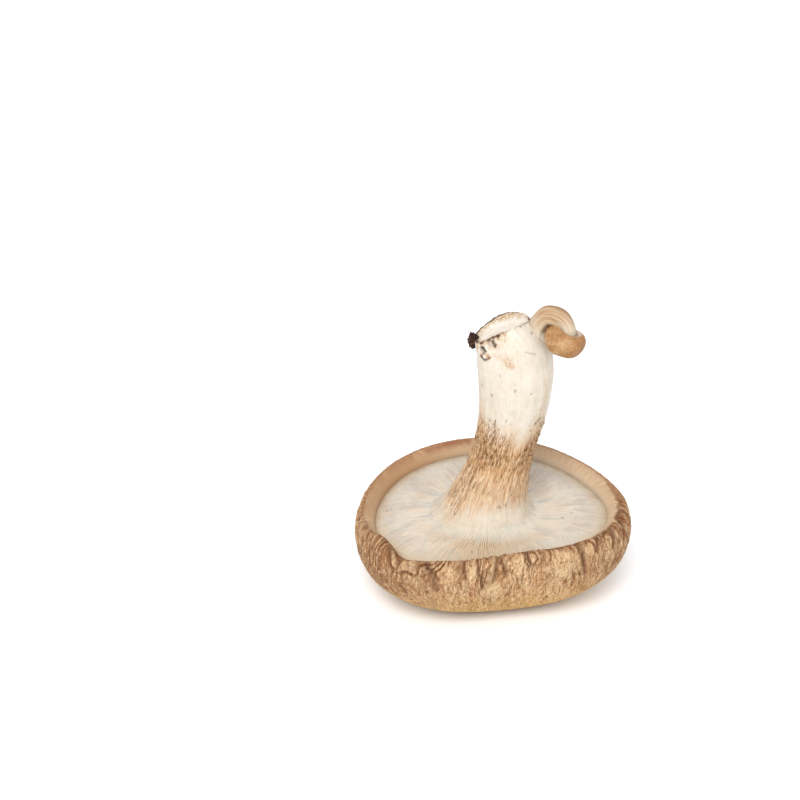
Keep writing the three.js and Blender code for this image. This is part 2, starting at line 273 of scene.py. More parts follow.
class Shader:
    """A node tree, with short calls for the nodes that the finishes use."""

    def __init__(self, tree: bpy.types.NodeTree) -> None:
        """Start on an empty tree."""
        self.tree = tree

    def add(self, kind: str, inputs: dict[Any, Any] | None = None, **settings: Any) -> bpy.types.Node:
        """Add a node.

        Args:
            kind: The node's type.
            inputs: A value or another node's output for each of its inputs, by name or number.
            **settings: The node's own settings.

        Returns:
            The node.
        """
        node = self.tree.nodes.new(kind)
        for key, value in settings.items():
            setattr(node, key, value)
        for key, value in (inputs or {}).items():
            if isinstance(value, bpy.types.NodeSocket):
                self.tree.links.new(value, node.inputs[key])
            else:
                node.inputs[key].default_value = value
        return node

    def coords(self, scale: Sequence[float] = (1, 1, 1)) -> Socket:
        """The object's own coordinates in millimetres, stretched by a scale."""
        place = self.add("ShaderNodeTexCoord").outputs["Object"]
        size = tuple(1000 * s for s in scale)
        return self.add("ShaderNodeMapping", {"Vector": place, "Scale": size}).outputs[0]

    def flow(self, pitch: float, stretch: float) -> Socket:
        """The coordinates that follow the surface: cells in one radian round its axis and in one millimetre along."""
        place = self.add("ShaderNodeAttribute", attribute_name="flow").outputs["Vector"]
        return self.add("ShaderNodeMapping", {"Vector": place, "Scale": (pitch, pitch, stretch)}).outputs[0]

    def value(self, name: str) -> Socket:
        """A number stored on the mesh."""
        return self.add("ShaderNodeAttribute", attribute_name=name).outputs["Fac"]

    def noise(
        self, vector: Any, scale: float = 1.0, detail: float = 3.0, rough: float = 0.55, warp: float = 0.0
    ) -> Socket:
        """Cloudy noise from 0 to 1."""
        inputs = {"Vector": vector, "Scale": scale, "Detail": detail, "Roughness": rough, "Distortion": warp}
        return self.add("ShaderNodeTexNoise", inputs).outputs["Fac"]

    def warped(self, vector: Any, scale: float, amount: float) -> Socket:
        """Coordinates pushed about by a noise, by about half this amount."""
        push = self.add("ShaderNodeTexNoise", {"Vector": vector, "Scale": scale, "Detail": 2.0}).outputs["Color"]
        centred = self.add("ShaderNodeVectorMath", {0: push, 1: (0.5, 0.5, 0.5)}, operation="SUBTRACT").outputs[0]
        inputs = {0: centred, 1: (amount, amount, amount), 2: vector}
        return self.add("ShaderNodeVectorMath", inputs, operation="MULTIPLY_ADD").outputs[0]

    def cracks(self, vector: Any, width: float) -> Socket:
        """Thin lines between irregular cells one unit wide: 1 on a line, 0 off it."""
        cells = self.add("ShaderNodeTexVoronoi", {"Vector": vector, "Scale": 1.0}, feature="DISTANCE_TO_EDGE")
        return self.between(cells.outputs["Distance"], 0.0, width, (1.0, 0.0))

    def math(self, how: str, a: Any, b: Any = 0.0, c: Any = 0.0) -> Socket:
        """A sum on one, two or three numbers."""
        return self.add("ShaderNodeMath", {0: a, 1: b, 2: c}, operation=how).outputs[0]

    def times(self, a: Any, b: Any) -> Socket:
        """One number times another."""
        return self.math("MULTIPLY", a, b)

    def ridges(self, name: str) -> Socket:
        """Sharp valleys between round ridges, from 0 to 1, by a phase stored on the mesh."""
        return self.math("ABSOLUTE", self.math("SINE", self.value(name)))

    def between(self, fac: Any, low: float, high: float, to: tuple[float, float] = (0.0, 1.0)) -> Socket:
        """Rise smoothly from to[0] to to[1] as fac goes from low to high."""
        inputs = {"Value": fac, "From Min": low, "From Max": high, "To Min": to[0], "To Max": to[1]}
        return self.add("ShaderNodeMapRange", inputs, interpolation_type="SMOOTHSTEP").outputs[0]

    def mix(self, fac: Any, a: Any, b: Any) -> Socket:
        """Lay colour b over colour a."""
        return self.add("ShaderNodeMix", {0: fac, 6: a, 7: b}, data_type="RGBA").outputs[2]

    def tint(self, base: Any, code: str, amount: Any, share: float = 1.0) -> Socket:
        """Lay a colour over a base by an amount, or by a share of it."""
        return self.mix(amount if share == 1.0 else self.times(amount, share), base, srgb(code))

    def ramp(self, fac: Any, stops: Sequence[tuple[float, str]]) -> Socket:
        """A colour from a row of colours, each with its place from 0 to 1."""
        node = self.add("ShaderNodeValToRGB", {"Fac": fac})
        elements = node.color_ramp.elements
        while len(elements) < len(stops):
            elements.new(0.5)
        for element, (place, code) in zip(elements, stops):
            element.position = place
            element.color = srgb(code)
        return node.outputs["Color"]

    def relief(self, height: Any, depth_mm: float) -> Socket:
        """Shade as if the surface had a relief of this depth."""
        return self.add("ShaderNodeBump", {"Height": height, "Strength": 1.0, "Distance": depth_mm * MM}).outputs[0]

    def group(self, tree: bpy.types.NodeTree, inputs: dict[str, Any]) -> Socket:
        """Place a shared effect."""
        return self.add("ShaderNodeGroup", inputs, node_tree=tree).outputs[0]

    def mottle(self, clouds: float, grain: float) -> Socket:
        """Soft clouds and their grain, given in cells in one millimetre."""
        return self.group(mottle_group(), {"Vector": self.coords(), "Clouds": clouds, "Grain": grain})

    def specks(self, scale: float, share: float) -> Socket:
        """Scattered specks, in this share of the cells."""
        return self.group(speckle_group(), {"Vector": self.coords(), "Scale": scale, "Share": share})

    def fibres(self, pitch: float, stretch: float) -> Socket:
        """Fine strands that follow the surface."""
        return self.group(fibre_group(), {"Vector": self.flow(pitch, stretch), "Scale": 1.0})


def shared_effect(name: str, inputs: dict[str, Any], outputs: Sequence[str], build: Callable) -> bpy.types.NodeTree:
    """A node group that several materials use, built once.

    Args:
        name: The group's name.
        inputs: Each input's name, and the number that it starts at, or nothing for a vector.
        outputs: The names of the numbers that the group gives.
        build: Fills the group, from its Shader and its input sockets, and returns its output sockets.

    Returns:
        The group.
    """
    tree = bpy.data.node_groups.get(name)
    if tree is not None:
        return tree
    tree = bpy.data.node_groups.new(name, "ShaderNodeTree")
    for key, start in inputs.items():
        kind = "NodeSocketVector" if start is None else "NodeSocketFloat"
        socket = tree.interface.new_socket(key, in_out="INPUT", socket_type=kind)
        if start is not None:
            socket.default_value = start
    for key in outputs:
        tree.interface.new_socket(key, in_out="OUTPUT", socket_type="NodeSocketFloat")
    start_node = tree.nodes.new("NodeGroupInput")
    end_node = tree.nodes.new("NodeGroupOutput")
    for socket, target in zip(build(Shader(tree), start_node.outputs), end_node.inputs):
        tree.links.new(socket, target)
    return tree


def mottle_group() -> bpy.types.NodeTree:
    """Soft light and dark clouds with a finer grain in them, from 0 to 1."""

    def build(shader: Shader, given: Any) -> list[Socket]:
        """Wire the clouds and the grain."""
        clouds = shader.noise(given["Vector"], given["Clouds"], 4.0, 0.6)
        grain = shader.noise(given["Vector"], given["Grain"], 3.0, 0.6)
        mixed = shader.math("ADD", shader.times(clouds, 0.65), shader.times(grain, 0.35))
        return [shader.between(mixed, 0.34, 0.66)]

    return shared_effect("Mottle", {"Vector": None, "Clouds": 0.2, "Grain": 1.0}, ["Fac"], build)


def speckle_group() -> bpy.types.NodeTree:
    """Small scattered specks: 1 inside a speck, 0 elsewhere."""

    def build(shader: Shader, given: Any) -> list[Socket]:
        """Wire cells whose random colour picks the few that carry a speck."""
        inputs = {"Vector": given["Vector"], "Scale": given["Scale"], "Randomness": 1.0}
        cells = shader.add("ShaderNodeTexVoronoi", inputs)
        pick = shader.add("ShaderNodeSeparateColor", {"Color": cells.outputs["Color"]}).outputs[0]
        chosen = shader.math("GREATER_THAN", given["Share"], pick)
        dot = shader.between(cells.outputs["Distance"], 0.1, 0.32, (1.0, 0.0))
        return [shader.times(chosen, dot)]

    return shared_effect("Speckle", {"Vector": None, "Scale": 1.0, "Share": 0.1}, ["Fac"], build)


def fibre_group() -> bpy.types.NodeTree:
    """Fine strands that follow the surface: 1 on a strand, 0 between strands."""

    def build(shader: Shader, given: Any) -> list[Socket]:
        """Wire two stretched noises into strands."""
        coarse = shader.noise(given["Vector"], given["Scale"], 2.0, 0.5, 0.4)
        fine_scale = shader.times(given["Scale"], 2.7)
        fine = shader.noise(given["Vector"], fine_scale, 2.0, 0.5, 0.2)
        mixed = shader.math("ADD", shader.times(coarse, 0.6), shader.times(fine, 0.4))
        return [shader.between(mixed, 0.38, 0.62)]

    return shared_effect("Fibres", {"Vector": None, "Scale": 1.0}, ["Fac"], build)


@dataclass(frozen=True)
class Finish:
    """What a finish sets on the shader itself, and the material that it makes."""

    name: str = "finish"
    roughness: float = 0.75
    specular: float = 0.3
    subsurface: float = 0.0
    subsurface_mm: float = 1.5

    def look(self, shader: Shader) -> dict[str, Any]:
        """What the surface's own inputs get, by name."""
        raise NotImplementedError

    def make(self) -> bpy.types.Material:
        """Build the material."""
        made = bpy.data.materials.new(self.name)
        made.use_nodes = True
        made.node_tree.nodes.clear()
        shader = Shader(made.node_tree)
        inputs = {
            "Roughness": self.roughness,
            "Specular IOR Level": self.specular,
            "Subsurface Weight": self.subsurface,
            "Subsurface Scale": self.subsurface_mm * MM,
            "Subsurface Radius": FLESH_SCATTER,
        }
        surface = shader.add("ShaderNodeBsdfPrincipled", inputs | self.look(shader))
        shader.add("ShaderNodeOutputMaterial", {"Surface": surface.outputs[0]})
        return made


@dataclass(frozen=True)
class CapSkinFinish(Finish):
    """Brown skin with darker creases, golden towards the crown, and the pale bare band inside the rim."""

    name: str = "cap_skin"
    roughness: float = 0.72
    specular: float = 0.25
    subsurface: float = 0.06

    def look(self, shader: Shader) -> dict[str, Any]:
        """Wire the colour and any relief."""
        high = shader.between(shader.value("height"), 0.03, 0.42)
        grain = shader.noise(shader.coords((1, 1, 0.8)), 2.1, 3.0, 0.62, 0.6)
        lines = shader.noise(shader.flow(52, 0.5), 1.0, 3.0, 0.62, 1.5)
        wrinkle = shader.ridges("wrinkle_phase")
        ground = self.ground(shader, shader.between(shader.value("height"), 0.1, 0.62))
        stippled = self.stippled(shader, ground, high, grain)
        wrinkled = self.wrinkled(shader, stippled, high, lines, wrinkle)
        folded = self.folded(shader, wrinkled)
        skin = shader.tint(folded, "4a2c18", shader.specks(0.5, 0.06), 0.8)
        colour = shader.mix(shader.value("band"), self.crown(shader, skin), self.inner_band(shader))
        rounded = shader.times(shader.between(wrinkle, 0.0, 0.6), shader.value("shallow"))
        rounded = shader.math("MULTIPLY_ADD", rounded, 0.5, shader.times(lines, 0.4))
        relief = shader.math("MULTIPLY_ADD", grain, 0.5, rounded)
        bare = shader.math("SUBTRACT", 1.0, shader.value("band"))
        return {"Base Color": colour, "Normal": shader.relief(shader.times(relief, bare), 0.32)}

    def ground(self, shader: Shader, high: Any) -> Socket:
        """The skin's broad tones: browner near the rim, golden below, paler on the swellings, and browner at the left
        and right, partly as painted shade.
        """
        clouds = shader.mottle(0.13, 0.6)
        patches = shader.between(shader.noise(shader.flow(9, 0.13), 1.0, 3.0, 0.6, 0.5), 0.36, 0.64)
        upper = shader.ramp(patches, [(0.0, "b5865e"), (0.5, "c79d74"), (1.0, "d8b48b")])
        lower = shader.ramp(clouds, [(0.0, "cea055"), (0.5, "e1b974"), (1.0, "edcd8e")])
        amber = shader.between(shader.noise(shader.coords(), 0.13, 3.0, 0.6), 0.5, 0.64, (0.0, 0.5))
        lower = shader.tint(lower, "d49c50", amber)
        toned = shader.mix(high, lower, upper)
        lit = shader.tint(toned, "e4c69c", shader.value("pale"), 0.7)
        # Browner at the left and right: partly the skin's own tone, partly painted shade.
        return shader.tint(lit, "8a5c36", shader.value("brown_and_side_shade"))

    def stippled(self, shader: Shader, base: Any, high: Any, grain: Any) -> Socket:
        """Lay a fine stipple over the skin, strongest towards the crown."""
        much = shader.math("MULTIPLY_ADD", high, -0.4, 1.0)
        dark = shader.times(shader.between(grain, 0.4, 0.51, (0.85, 0.0)), much)
        light = shader.times(shader.between(grain, 0.53, 0.64, (0.0, 0.75)), much)
        return shader.tint(shader.tint(base, "a26c35", dark), "f0d4a4", light)

    def wrinkled(self, shader: Shader, base: Any, high: Any, lines: Any, wrinkle: Any) -> Socket:
        """Lay short fine lines and small wrinkles over the skin's upper part, the wrinkles' valleys darkened partly
        in their own tone and partly as painted shade.
        """
        much = shader.math("MULTIPLY_ADD", high, 0.5, 0.5)
        dark = shader.times(shader.between(lines, 0.37, 0.47, (0.8, 0.0)), much)
        light = shader.times(shader.between(lines, 0.55, 0.65, (0.0, 0.5)), much)
        lined = shader.tint(shader.tint(base, "84552f", dark), "e4c59c", light)
        top = shader.between(shader.value("down"), 0.1, 2.6, (0.55, 0.0))
        browned = shader.tint(lined, "85593a", top)
        broken = shader.between(shader.noise(shader.flow(20, 0.4), 1.0, 2.0, 0.6), 0.36, 0.54)
        # The small wrinkles' valleys darken, partly in their own tone and partly as painted shade.
        dark_and_shaded_wrinkles = shader.times(shader.between(wrinkle, 0.03, 0.3, (0.95, 0.0)), shader.value("shallow"))
        return shader.tint(browned, "794a20", shader.times(dark_and_shaded_wrinkles, broken))

    def folded(self, shader: Shader, base: Any) -> Socket:
        """Lay the folds over the skin: a painted highlight on their tops, creases darkened partly in their own tone
        and partly as painted shade, and thin cracks that cross them.
        """
        fold = shader.ridges("fold_phase")
        strength = shader.value("strength")
        # Painted highlight: the fold tops are paled as if lit.
        painted_top_highlight = shader.times(shader.between(fold, 0.55, 0.95, (0.0, 0.4)), strength)
        top_highlighted = shader.tint(base, "e4c49b", painted_top_highlight)
        broken = shader.between(shader.noise(shader.flow(14, 0.3), 1.0, 3.0, 0.6), 0.4, 0.56)
        plates = shader.cracks(shader.warped(shader.flow(17, 0.2), 1.3, 0.8), 0.08)
        crossing = shader.times(plates, shader.math("MULTIPLY_ADD", strength, 0.75, 0.04))
        crossed = shader.tint(top_highlighted, "794a20", crossing, 0.85)
        # The fold valleys darken, partly in their own dark tone and partly as painted shade.
        dark_and_shaded_valley = shader.times(shader.between(fold, 0.03, 0.26, (1.0, 0.0)), strength)
        creased = shader.tint(crossed, "693b1a", shader.times(dark_and_shaded_valley, broken))
        return shader.tint(creased, "683f22", shader.value("crease"), 0.85)

    def crown(self, shader: Shader, skin: Any) -> Socket:
        """Lay the crown's amber middle and its dark ring over the skin."""
        place = shader.coords((1, 1, 0.5))
        away = shader.add("ShaderNodeVectorMath", {0: place}, operation="LENGTH").outputs["Value"]
        wander = shader.noise(shader.coords(), 0.16, 4.0, 0.6)
        away = shader.math("ADD", away, shader.times(shader.math("SUBTRACT", wander, 0.5), 14.0))
        amber = shader.between(away, 6.0, 12.0, (1.0, 0.0))
        ring = shader.times(shader.between(away, 6.5, 10.0), shader.between(away, 11.5, 19.0, (1.0, 0.0)))
        toned = shader.tint(skin, "a8672a", amber, 0.75)
        return shader.tint(toned, "6a3b1c", ring, 0.65)

    def inner_band(self, shader: Shader) -> Socket:
        """The bare band between the rim's crest and the gills: beige, with brown stains that run inwards."""
        streaks = shader.fibres(30, 0.22)
        base = shader.ramp(streaks, [(0.0, "cdb18f"), (0.6, "d3b999"), (1.0, "d9c2a4")])
        stain = shader.noise(shader.flow(6.0, 0.14), 1.0, 4.0, 0.65, 0.4)
        near_gills = shader.between(shader.value("down"), -5.2, -2.2, (0.85, 0.0))
        base = shader.tint(base, "d9cab6", near_gills)
        shaded = shader.tint(base, "b48f6a", shader.value("tan"))
        amount = shader.times(shader.between(stain, 0.3, 0.56), shader.value("stain"))
        return shader.tint(shaded, "936346", amount)


@dataclass(frozen=True)
class GillFinish(Finish):
    """Off-white gills, a little pink, with grey painted shade between the blades, and beige where they meet the foot
    and rim.
    """

    name: str = "gill_flesh"
    roughness: float = 0.6
    specular: float = 0.3
    subsurface: float = 0.35
    subsurface_mm: float = 1.2

    def look(self, shader: Shader) -> dict[str, Any]:
        """Wire the colour and any relief."""
        clouds = shader.mottle(0.1, 0.35)
        rays = shader.fibres(26, 0.09)
        blade = shader.ramp(clouds, [(0.0, "c5b3a7"), (0.45, "d2c3b4"), (1.0, "ddcfc0")])
        rayed = shader.tint(blade, "e5dacb", rays, 0.35)
        cream = shader.tint(rayed, "dbd0bf", shader.value("foot"))
        beige = shader.tint(cream, "cfb18c", shader.value("warm"))
        lined = shader.tint(beige, "a98d70", shader.value("line"), 0.35)
        # Painted shade: greyer down between the blades and on the web below them.
        shaded_between_blades = shader.tint(lined, "c3ad98", shader.value("between_blades_shade"), 0.4)
        colour = shader.tint(shaded_between_blades, "86684c", shader.specks(0.42, 0.02), 0.6)
        return {"Base Color": colour}


@dataclass(frozen=True)
class StemFinish(Finish):
    """Cream flesh with faint strands, a brown scaly zone above the foot, and stains at the cut."""

    name: str = "stem_flesh"
    roughness: float = 0.66
    specular: float = 0.3
    subsurface: float = 0.12

    def look(self, shader: Shader) -> dict[str, Any]:
        """Wire the colour and any relief."""
        strands = shader.fibres(11, 0.12)
        clouds = shader.mottle(0.16, 0.7)
        cream = shader.ramp(clouds, [(0.0, "d0c4b0"), (0.45, "d8cebd"), (1.0, "dfd6c8")])
        cream = shader.tint(cream, "e8e0d2", strands, 0.3)
        # Painted shade: thin darker lines round the foot, spaced like the blades, stand in for the shaded gaps
        # between them.
        slit_shade_wave = shader.ridges("slit_shade_phase")
        broken = shader.between(shader.noise(shader.flow(30, 0.2), 1.0, 2.0, 0.5), 0.3, 0.6, (0.3, 0.9))
        painted_slit_shade = shader.times(shader.between(slit_shade_wave, 0.55, 0.95), broken)
        cream = shader.tint(cream, "b39f86", shader.times(painted_slit_shade, shader.value("foot")))
        zone = shader.value("zone")
        straw = shader.noise(shader.flow(34, 0.42), 1.0, 3.0, 0.62, 0.8)
        peach = shader.ramp(straw, [(0.32, "a5703a"), (0.48, "cb9c67"), (0.64, "e7caa2")])
        tinted = shader.mix(shader.value("tint"), cream, peach)
        browned = shader.tint(tinted, "86532a", shader.value("gaps"), 0.8)
        fine = shader.noise(shader.flow(34, 0.8), 1.0, 3.0, 0.6, 0.8)
        broken = shader.times(shader.between(fine, 0.52, 0.62), zone)
        scaly = shader.tint(browned, "6f4122", broken, 0.6)
        flecks = shader.noise(shader.flow(22, 0.7), 1.0, 3.0, 0.65, 1.2)
        flecked = shader.times(shader.between(flecks, 0.52, 0.6, (0.0, 0.75)), shader.value("dense"))
        scaly = shader.tint(scaly, "5e3418", flecked)
        # Rust-coloured tint: real rust stains near the cut, and down the stem's sides a tan that is partly painted
        # shade.
        rust_grain = shader.between(shader.noise(shader.coords(), 2.6, 3.0, 0.65), 0.3, 0.62)
        rust_and_edge_shade = shader.times(shader.value("rust_and_edge_shade"), rust_grain)
        rusted_and_edge_shaded = shader.tint(scaly, "b98243", rust_and_edge_shade)
        face = shader.mix(shader.value("cut"), rusted_and_edge_shaded, self.cut_face(shader, rust_grain))
        rusty_face = shader.tint(face, "b07a3c", shader.times(rust_and_edge_shade, shader.value("cut")))
        dark = shader.times(shader.value("dark"), shader.between(rust_grain, 0.0, 0.5, (0.7, 1.0)))
        paled = shader.tint(rusty_face, "eae3dc", shader.value("pale"))
        marked = shader.tint(paled, "452710", dark)
        colour = shader.tint(marked, "7b5a3e", shader.specks(0.42, 0.05), 0.45)
        colour = shader.tint(colour, "452c1c", shader.value("rim"))
        height = shader.math("ADD", shader.times(clouds, 0.5), shader.times(fine, 0.5))
        return {"Base Color": colour, "Normal": shader.relief(height, 0.16)}

    def cut_face(self, shader: Shader, grain: Any) -> Socket:
        """The pale flesh of the cut, stippled yellow-brown inside its edge."""
        clouds = shader.mottle(0.3, 1.4)
        flesh = shader.ramp(clouds, [(0.0, "d6c8b2"), (0.4, "e6dccd"), (1.0, "eee7dd")])
        lining = shader.times(shader.value("lining"), grain)
        return shader.tint(flesh, "a9834c", lining)


@dataclass(frozen=True)
class FibrilFinish(Finish):
    """Brown dry fibrils, from straw to nearly black."""

    name: str = "brown_fibrils"
    roughness: float = 0.7

    def look(self, shader: Shader) -> dict[str, Any]:
        """Wire the colour and any relief."""
        shade = shader.value("shade")
        colour = shader.ramp(shade, [(0.0, "5a371e"), (0.3, "8a5c36"), (0.6, "b48a5e"), (1.0, "dcc19a")])
        return {"Base Color": colour}


@dataclass(frozen=True)
class ShootFinish(Finish):
    """The beige, striped stem of the tiny side mushroom, with painted shadow on the inner side of its arch."""

    name: str = "shoot_flesh"
    roughness: float = 0.62
    subsurface: float = 0.12

    def look(self, shader: Shader) -> dict[str, Any]:
        """Wire the colour and any relief."""
        strands = shader.fibres(2.6, 0.05)
        hairs = shader.fibres(9, 0.12)
        broad = shader.ramp(strands, [(0.0, "a27a56"), (0.45, "b7946e"), (1.0, "cdb290")])
        haired = shader.tint(broad, "d8c5a6", hairs, 0.35)
        paled = shader.tint(haired, "ddd0bb", shader.value("pale"))
        edged = shader.tint(paled, "86603f", shader.value("outer"), 0.5)
        # Painted shadow: dark brown on the inner side of the arch, which faces the hollow.
        colour = shader.tint(edged, "604424", shader.value("inner"), 0.85)
        return {"Base Color": colour, "Normal": shader.relief(strands, 0.15)}


@dataclass(frozen=True)
class PinCapFinish(Finish):
    """The smooth tan skin of the tiny side mushroom's cap, pale inside its rim."""

    name: str = "pin_cap_skin"
    roughness: float = 0.55
    subsurface: float = 0.08

    def look(self, shader: Shader) -> dict[str, Any]:
        """Wire the colour and any relief."""
        clouds = shader.mottle(0.3, 1.6)
        skin = shader.ramp(clouds, [(0.0, "98683a"), (0.5, "ad8254"), (1.0, "c19d72")])
        # Darker orange-brown towards the right of the cap.
        right_darkened = shader.tint(skin, "8f5a2c", shader.value("darker_to_right"), 0.35)
        colour = shader.tint(right_darkened, "cdb9a8", shader.value("mouth"))
        return {"Base Color": colour, "Normal": shader.relief(clouds, 0.1)}


@dataclass(frozen=True)
class FloorFinish(Finish):
    """The studio's pale floor."""

    name: str = "pale_floor"
    roughness: float = 0.6
    specular: float = 0.2
    colour: tuple[float, float, float, float] = (0.955, 0.975, 1.0, 1.0)

    def look(self, shader: Shader) -> dict[str, Any]:
        """The plain colour."""
        return {"Base Color": self.colour}


@dataclass(frozen=True)
class SoilFinish(Finish):
    """Dark brown crumbs and dried tips."""

    name: str = "dark_crumbs"
    roughness: float = 0.8

    def look(self, shader: Shader) -> dict[str, Any]:
        """Wire the colour and any relief."""
        clouds = shader.mottle(0.9, 3.0)
        colour = shader.ramp(clouds, [(0.0, "22140c"), (0.6, "3d2414"), (1.0, "6b4526")])
        return {"Base Color": colour, "Normal": shader.relief(clouds, 0.2)}


@dataclass
class CapForm:
    """The cap's outline, rim and gill heights as functions of the angle, in millimetres."""

    radius: float = 33.0
    depth: float = 22.6
    crown_flat: float = 0.31
    belly_power: float = 2.4
    widest_at: float = 0.8
    crest_at: float = 0.95
    gill_edge_at: float = 0.86
    stem_seat_at: float = 0.44
    gill_drop: float = 3.4
    gill_arch: float = 0.6
    lobe_centre: float = 213.0
    lobe_width: float = 13.0
    lobe_lift: float = 1.3

    def outline(self, angle: Any) -> Any:
        """Radius of the widest ring."""
        return self.radius * (
            1
            + 0.073 * np.cos(2 * (angle - math.radians(3)))
            + 0.061 * np.cos(3 * (angle + math.radians(20.5)))
            + 0.02 * np.cos(4 * (angle - math.radians(57.5)))
        )

    def rim_height(self, angle: Any) -> Any:
        """Height of the crest, without its curled lobe."""
        tilt = 0.08 * np.cos(angle - math.radians(31))
        return self.depth * (1 + tilt + 0.023 * np.cos(2 * (angle - math.radians(110))))

    def lobe(self, angle: Any) -> Any:
        """How much the curled lobe at the front left lifts the crest."""
        return self.lobe_lift * bump(angle, self.lobe_centre, self.lobe_width)

    def radius_at(self, angle: Any, share: Any) -> Any:
        """Radius at a share of the outline, round at the flat spot."""
        corners = np.maximum(0.0, (share - self.crown_flat) / (1 - self.crown_flat))
        return share * (self.radius + (self.outline(angle) - self.radius) * corners)

    def share_at(self, angle: Any, radius: Any) -> Any:
        """Share of the outline at a radius, which turns radius_at round."""
        growth = (self.outline(angle) - self.radius) / (1 - self.crown_flat)
        base = self.radius - growth * self.crown_flat
        return 2 * radius / (base + np.sqrt(base**2 + 4 * growth * radius))

    def gill_top(self, angle: Any, share: Any) -> Any:
        """Height of the gills' free edges."""
        out = smoothstep(share, self.stem_seat_at, self.gill_edge_at)
        rise = out * (self.rim_height(angle) - self.depth)
        return self.depth - self.gill_drop + rise + self.gill_arch * np.sin(math.pi * out)


@dataclass(frozen=True)
class Furrow:
    """A dark furrow down the skin, given by its two ends: angle in degrees and millimetres below the crest."""

    start: tuple[float, float]
    end: tuple[float, float]
    half_width: float = 0.8
    depth: float = 0.45

    def share(self, angle: np.ndarray, down: np.ndarray, radius: float) -> np.ndarray:
        """1 along the middle of the furrow, falling to 0 at its sides and ends."""
        middle = math.radians((self.start[0] + self.end[0]) / 2)
        x = np.arctan2(np.sin(angle - middle), np.cos(angle - middle)) * radius
        x0 = (math.radians(self.start[0]) - middle) * radius
        dx = (math.radians(self.end[0]) - middle) * radius - x0
        dy = self.end[1] - self.start[1]
        t = np.clip(((x - x0) * dx + (down - self.start[1]) * dy) / (dx * dx + dy * dy), 0, 1)
        away = np.hypot(x - x0 - t * dx, down - self.start[1] - t * dy)
        return 1 - smoothstep(away, 0.0, 2 * self.half_width)


@dataclass(frozen=True)
class Swelling:
    """A smooth pale swelling of the skin between the folds."""

    angle_deg: float
    down: float
    half_across: float
    half_down: float
    lift: float

    def share(self, angle: np.ndarray, down: np.ndarray, radius: float) -> np.ndarray:
        """1 in the middle of the swelling, 0 outside it."""
        centre = math.radians(self.angle_deg)
        x = np.arctan2(np.sin(angle - centre), np.cos(angle - centre)) * radius
        away = np.hypot(x / self.half_across, (down - self.down) / self.half_down)
        return 1 - smoothstep(away, 0.45, 1.15)


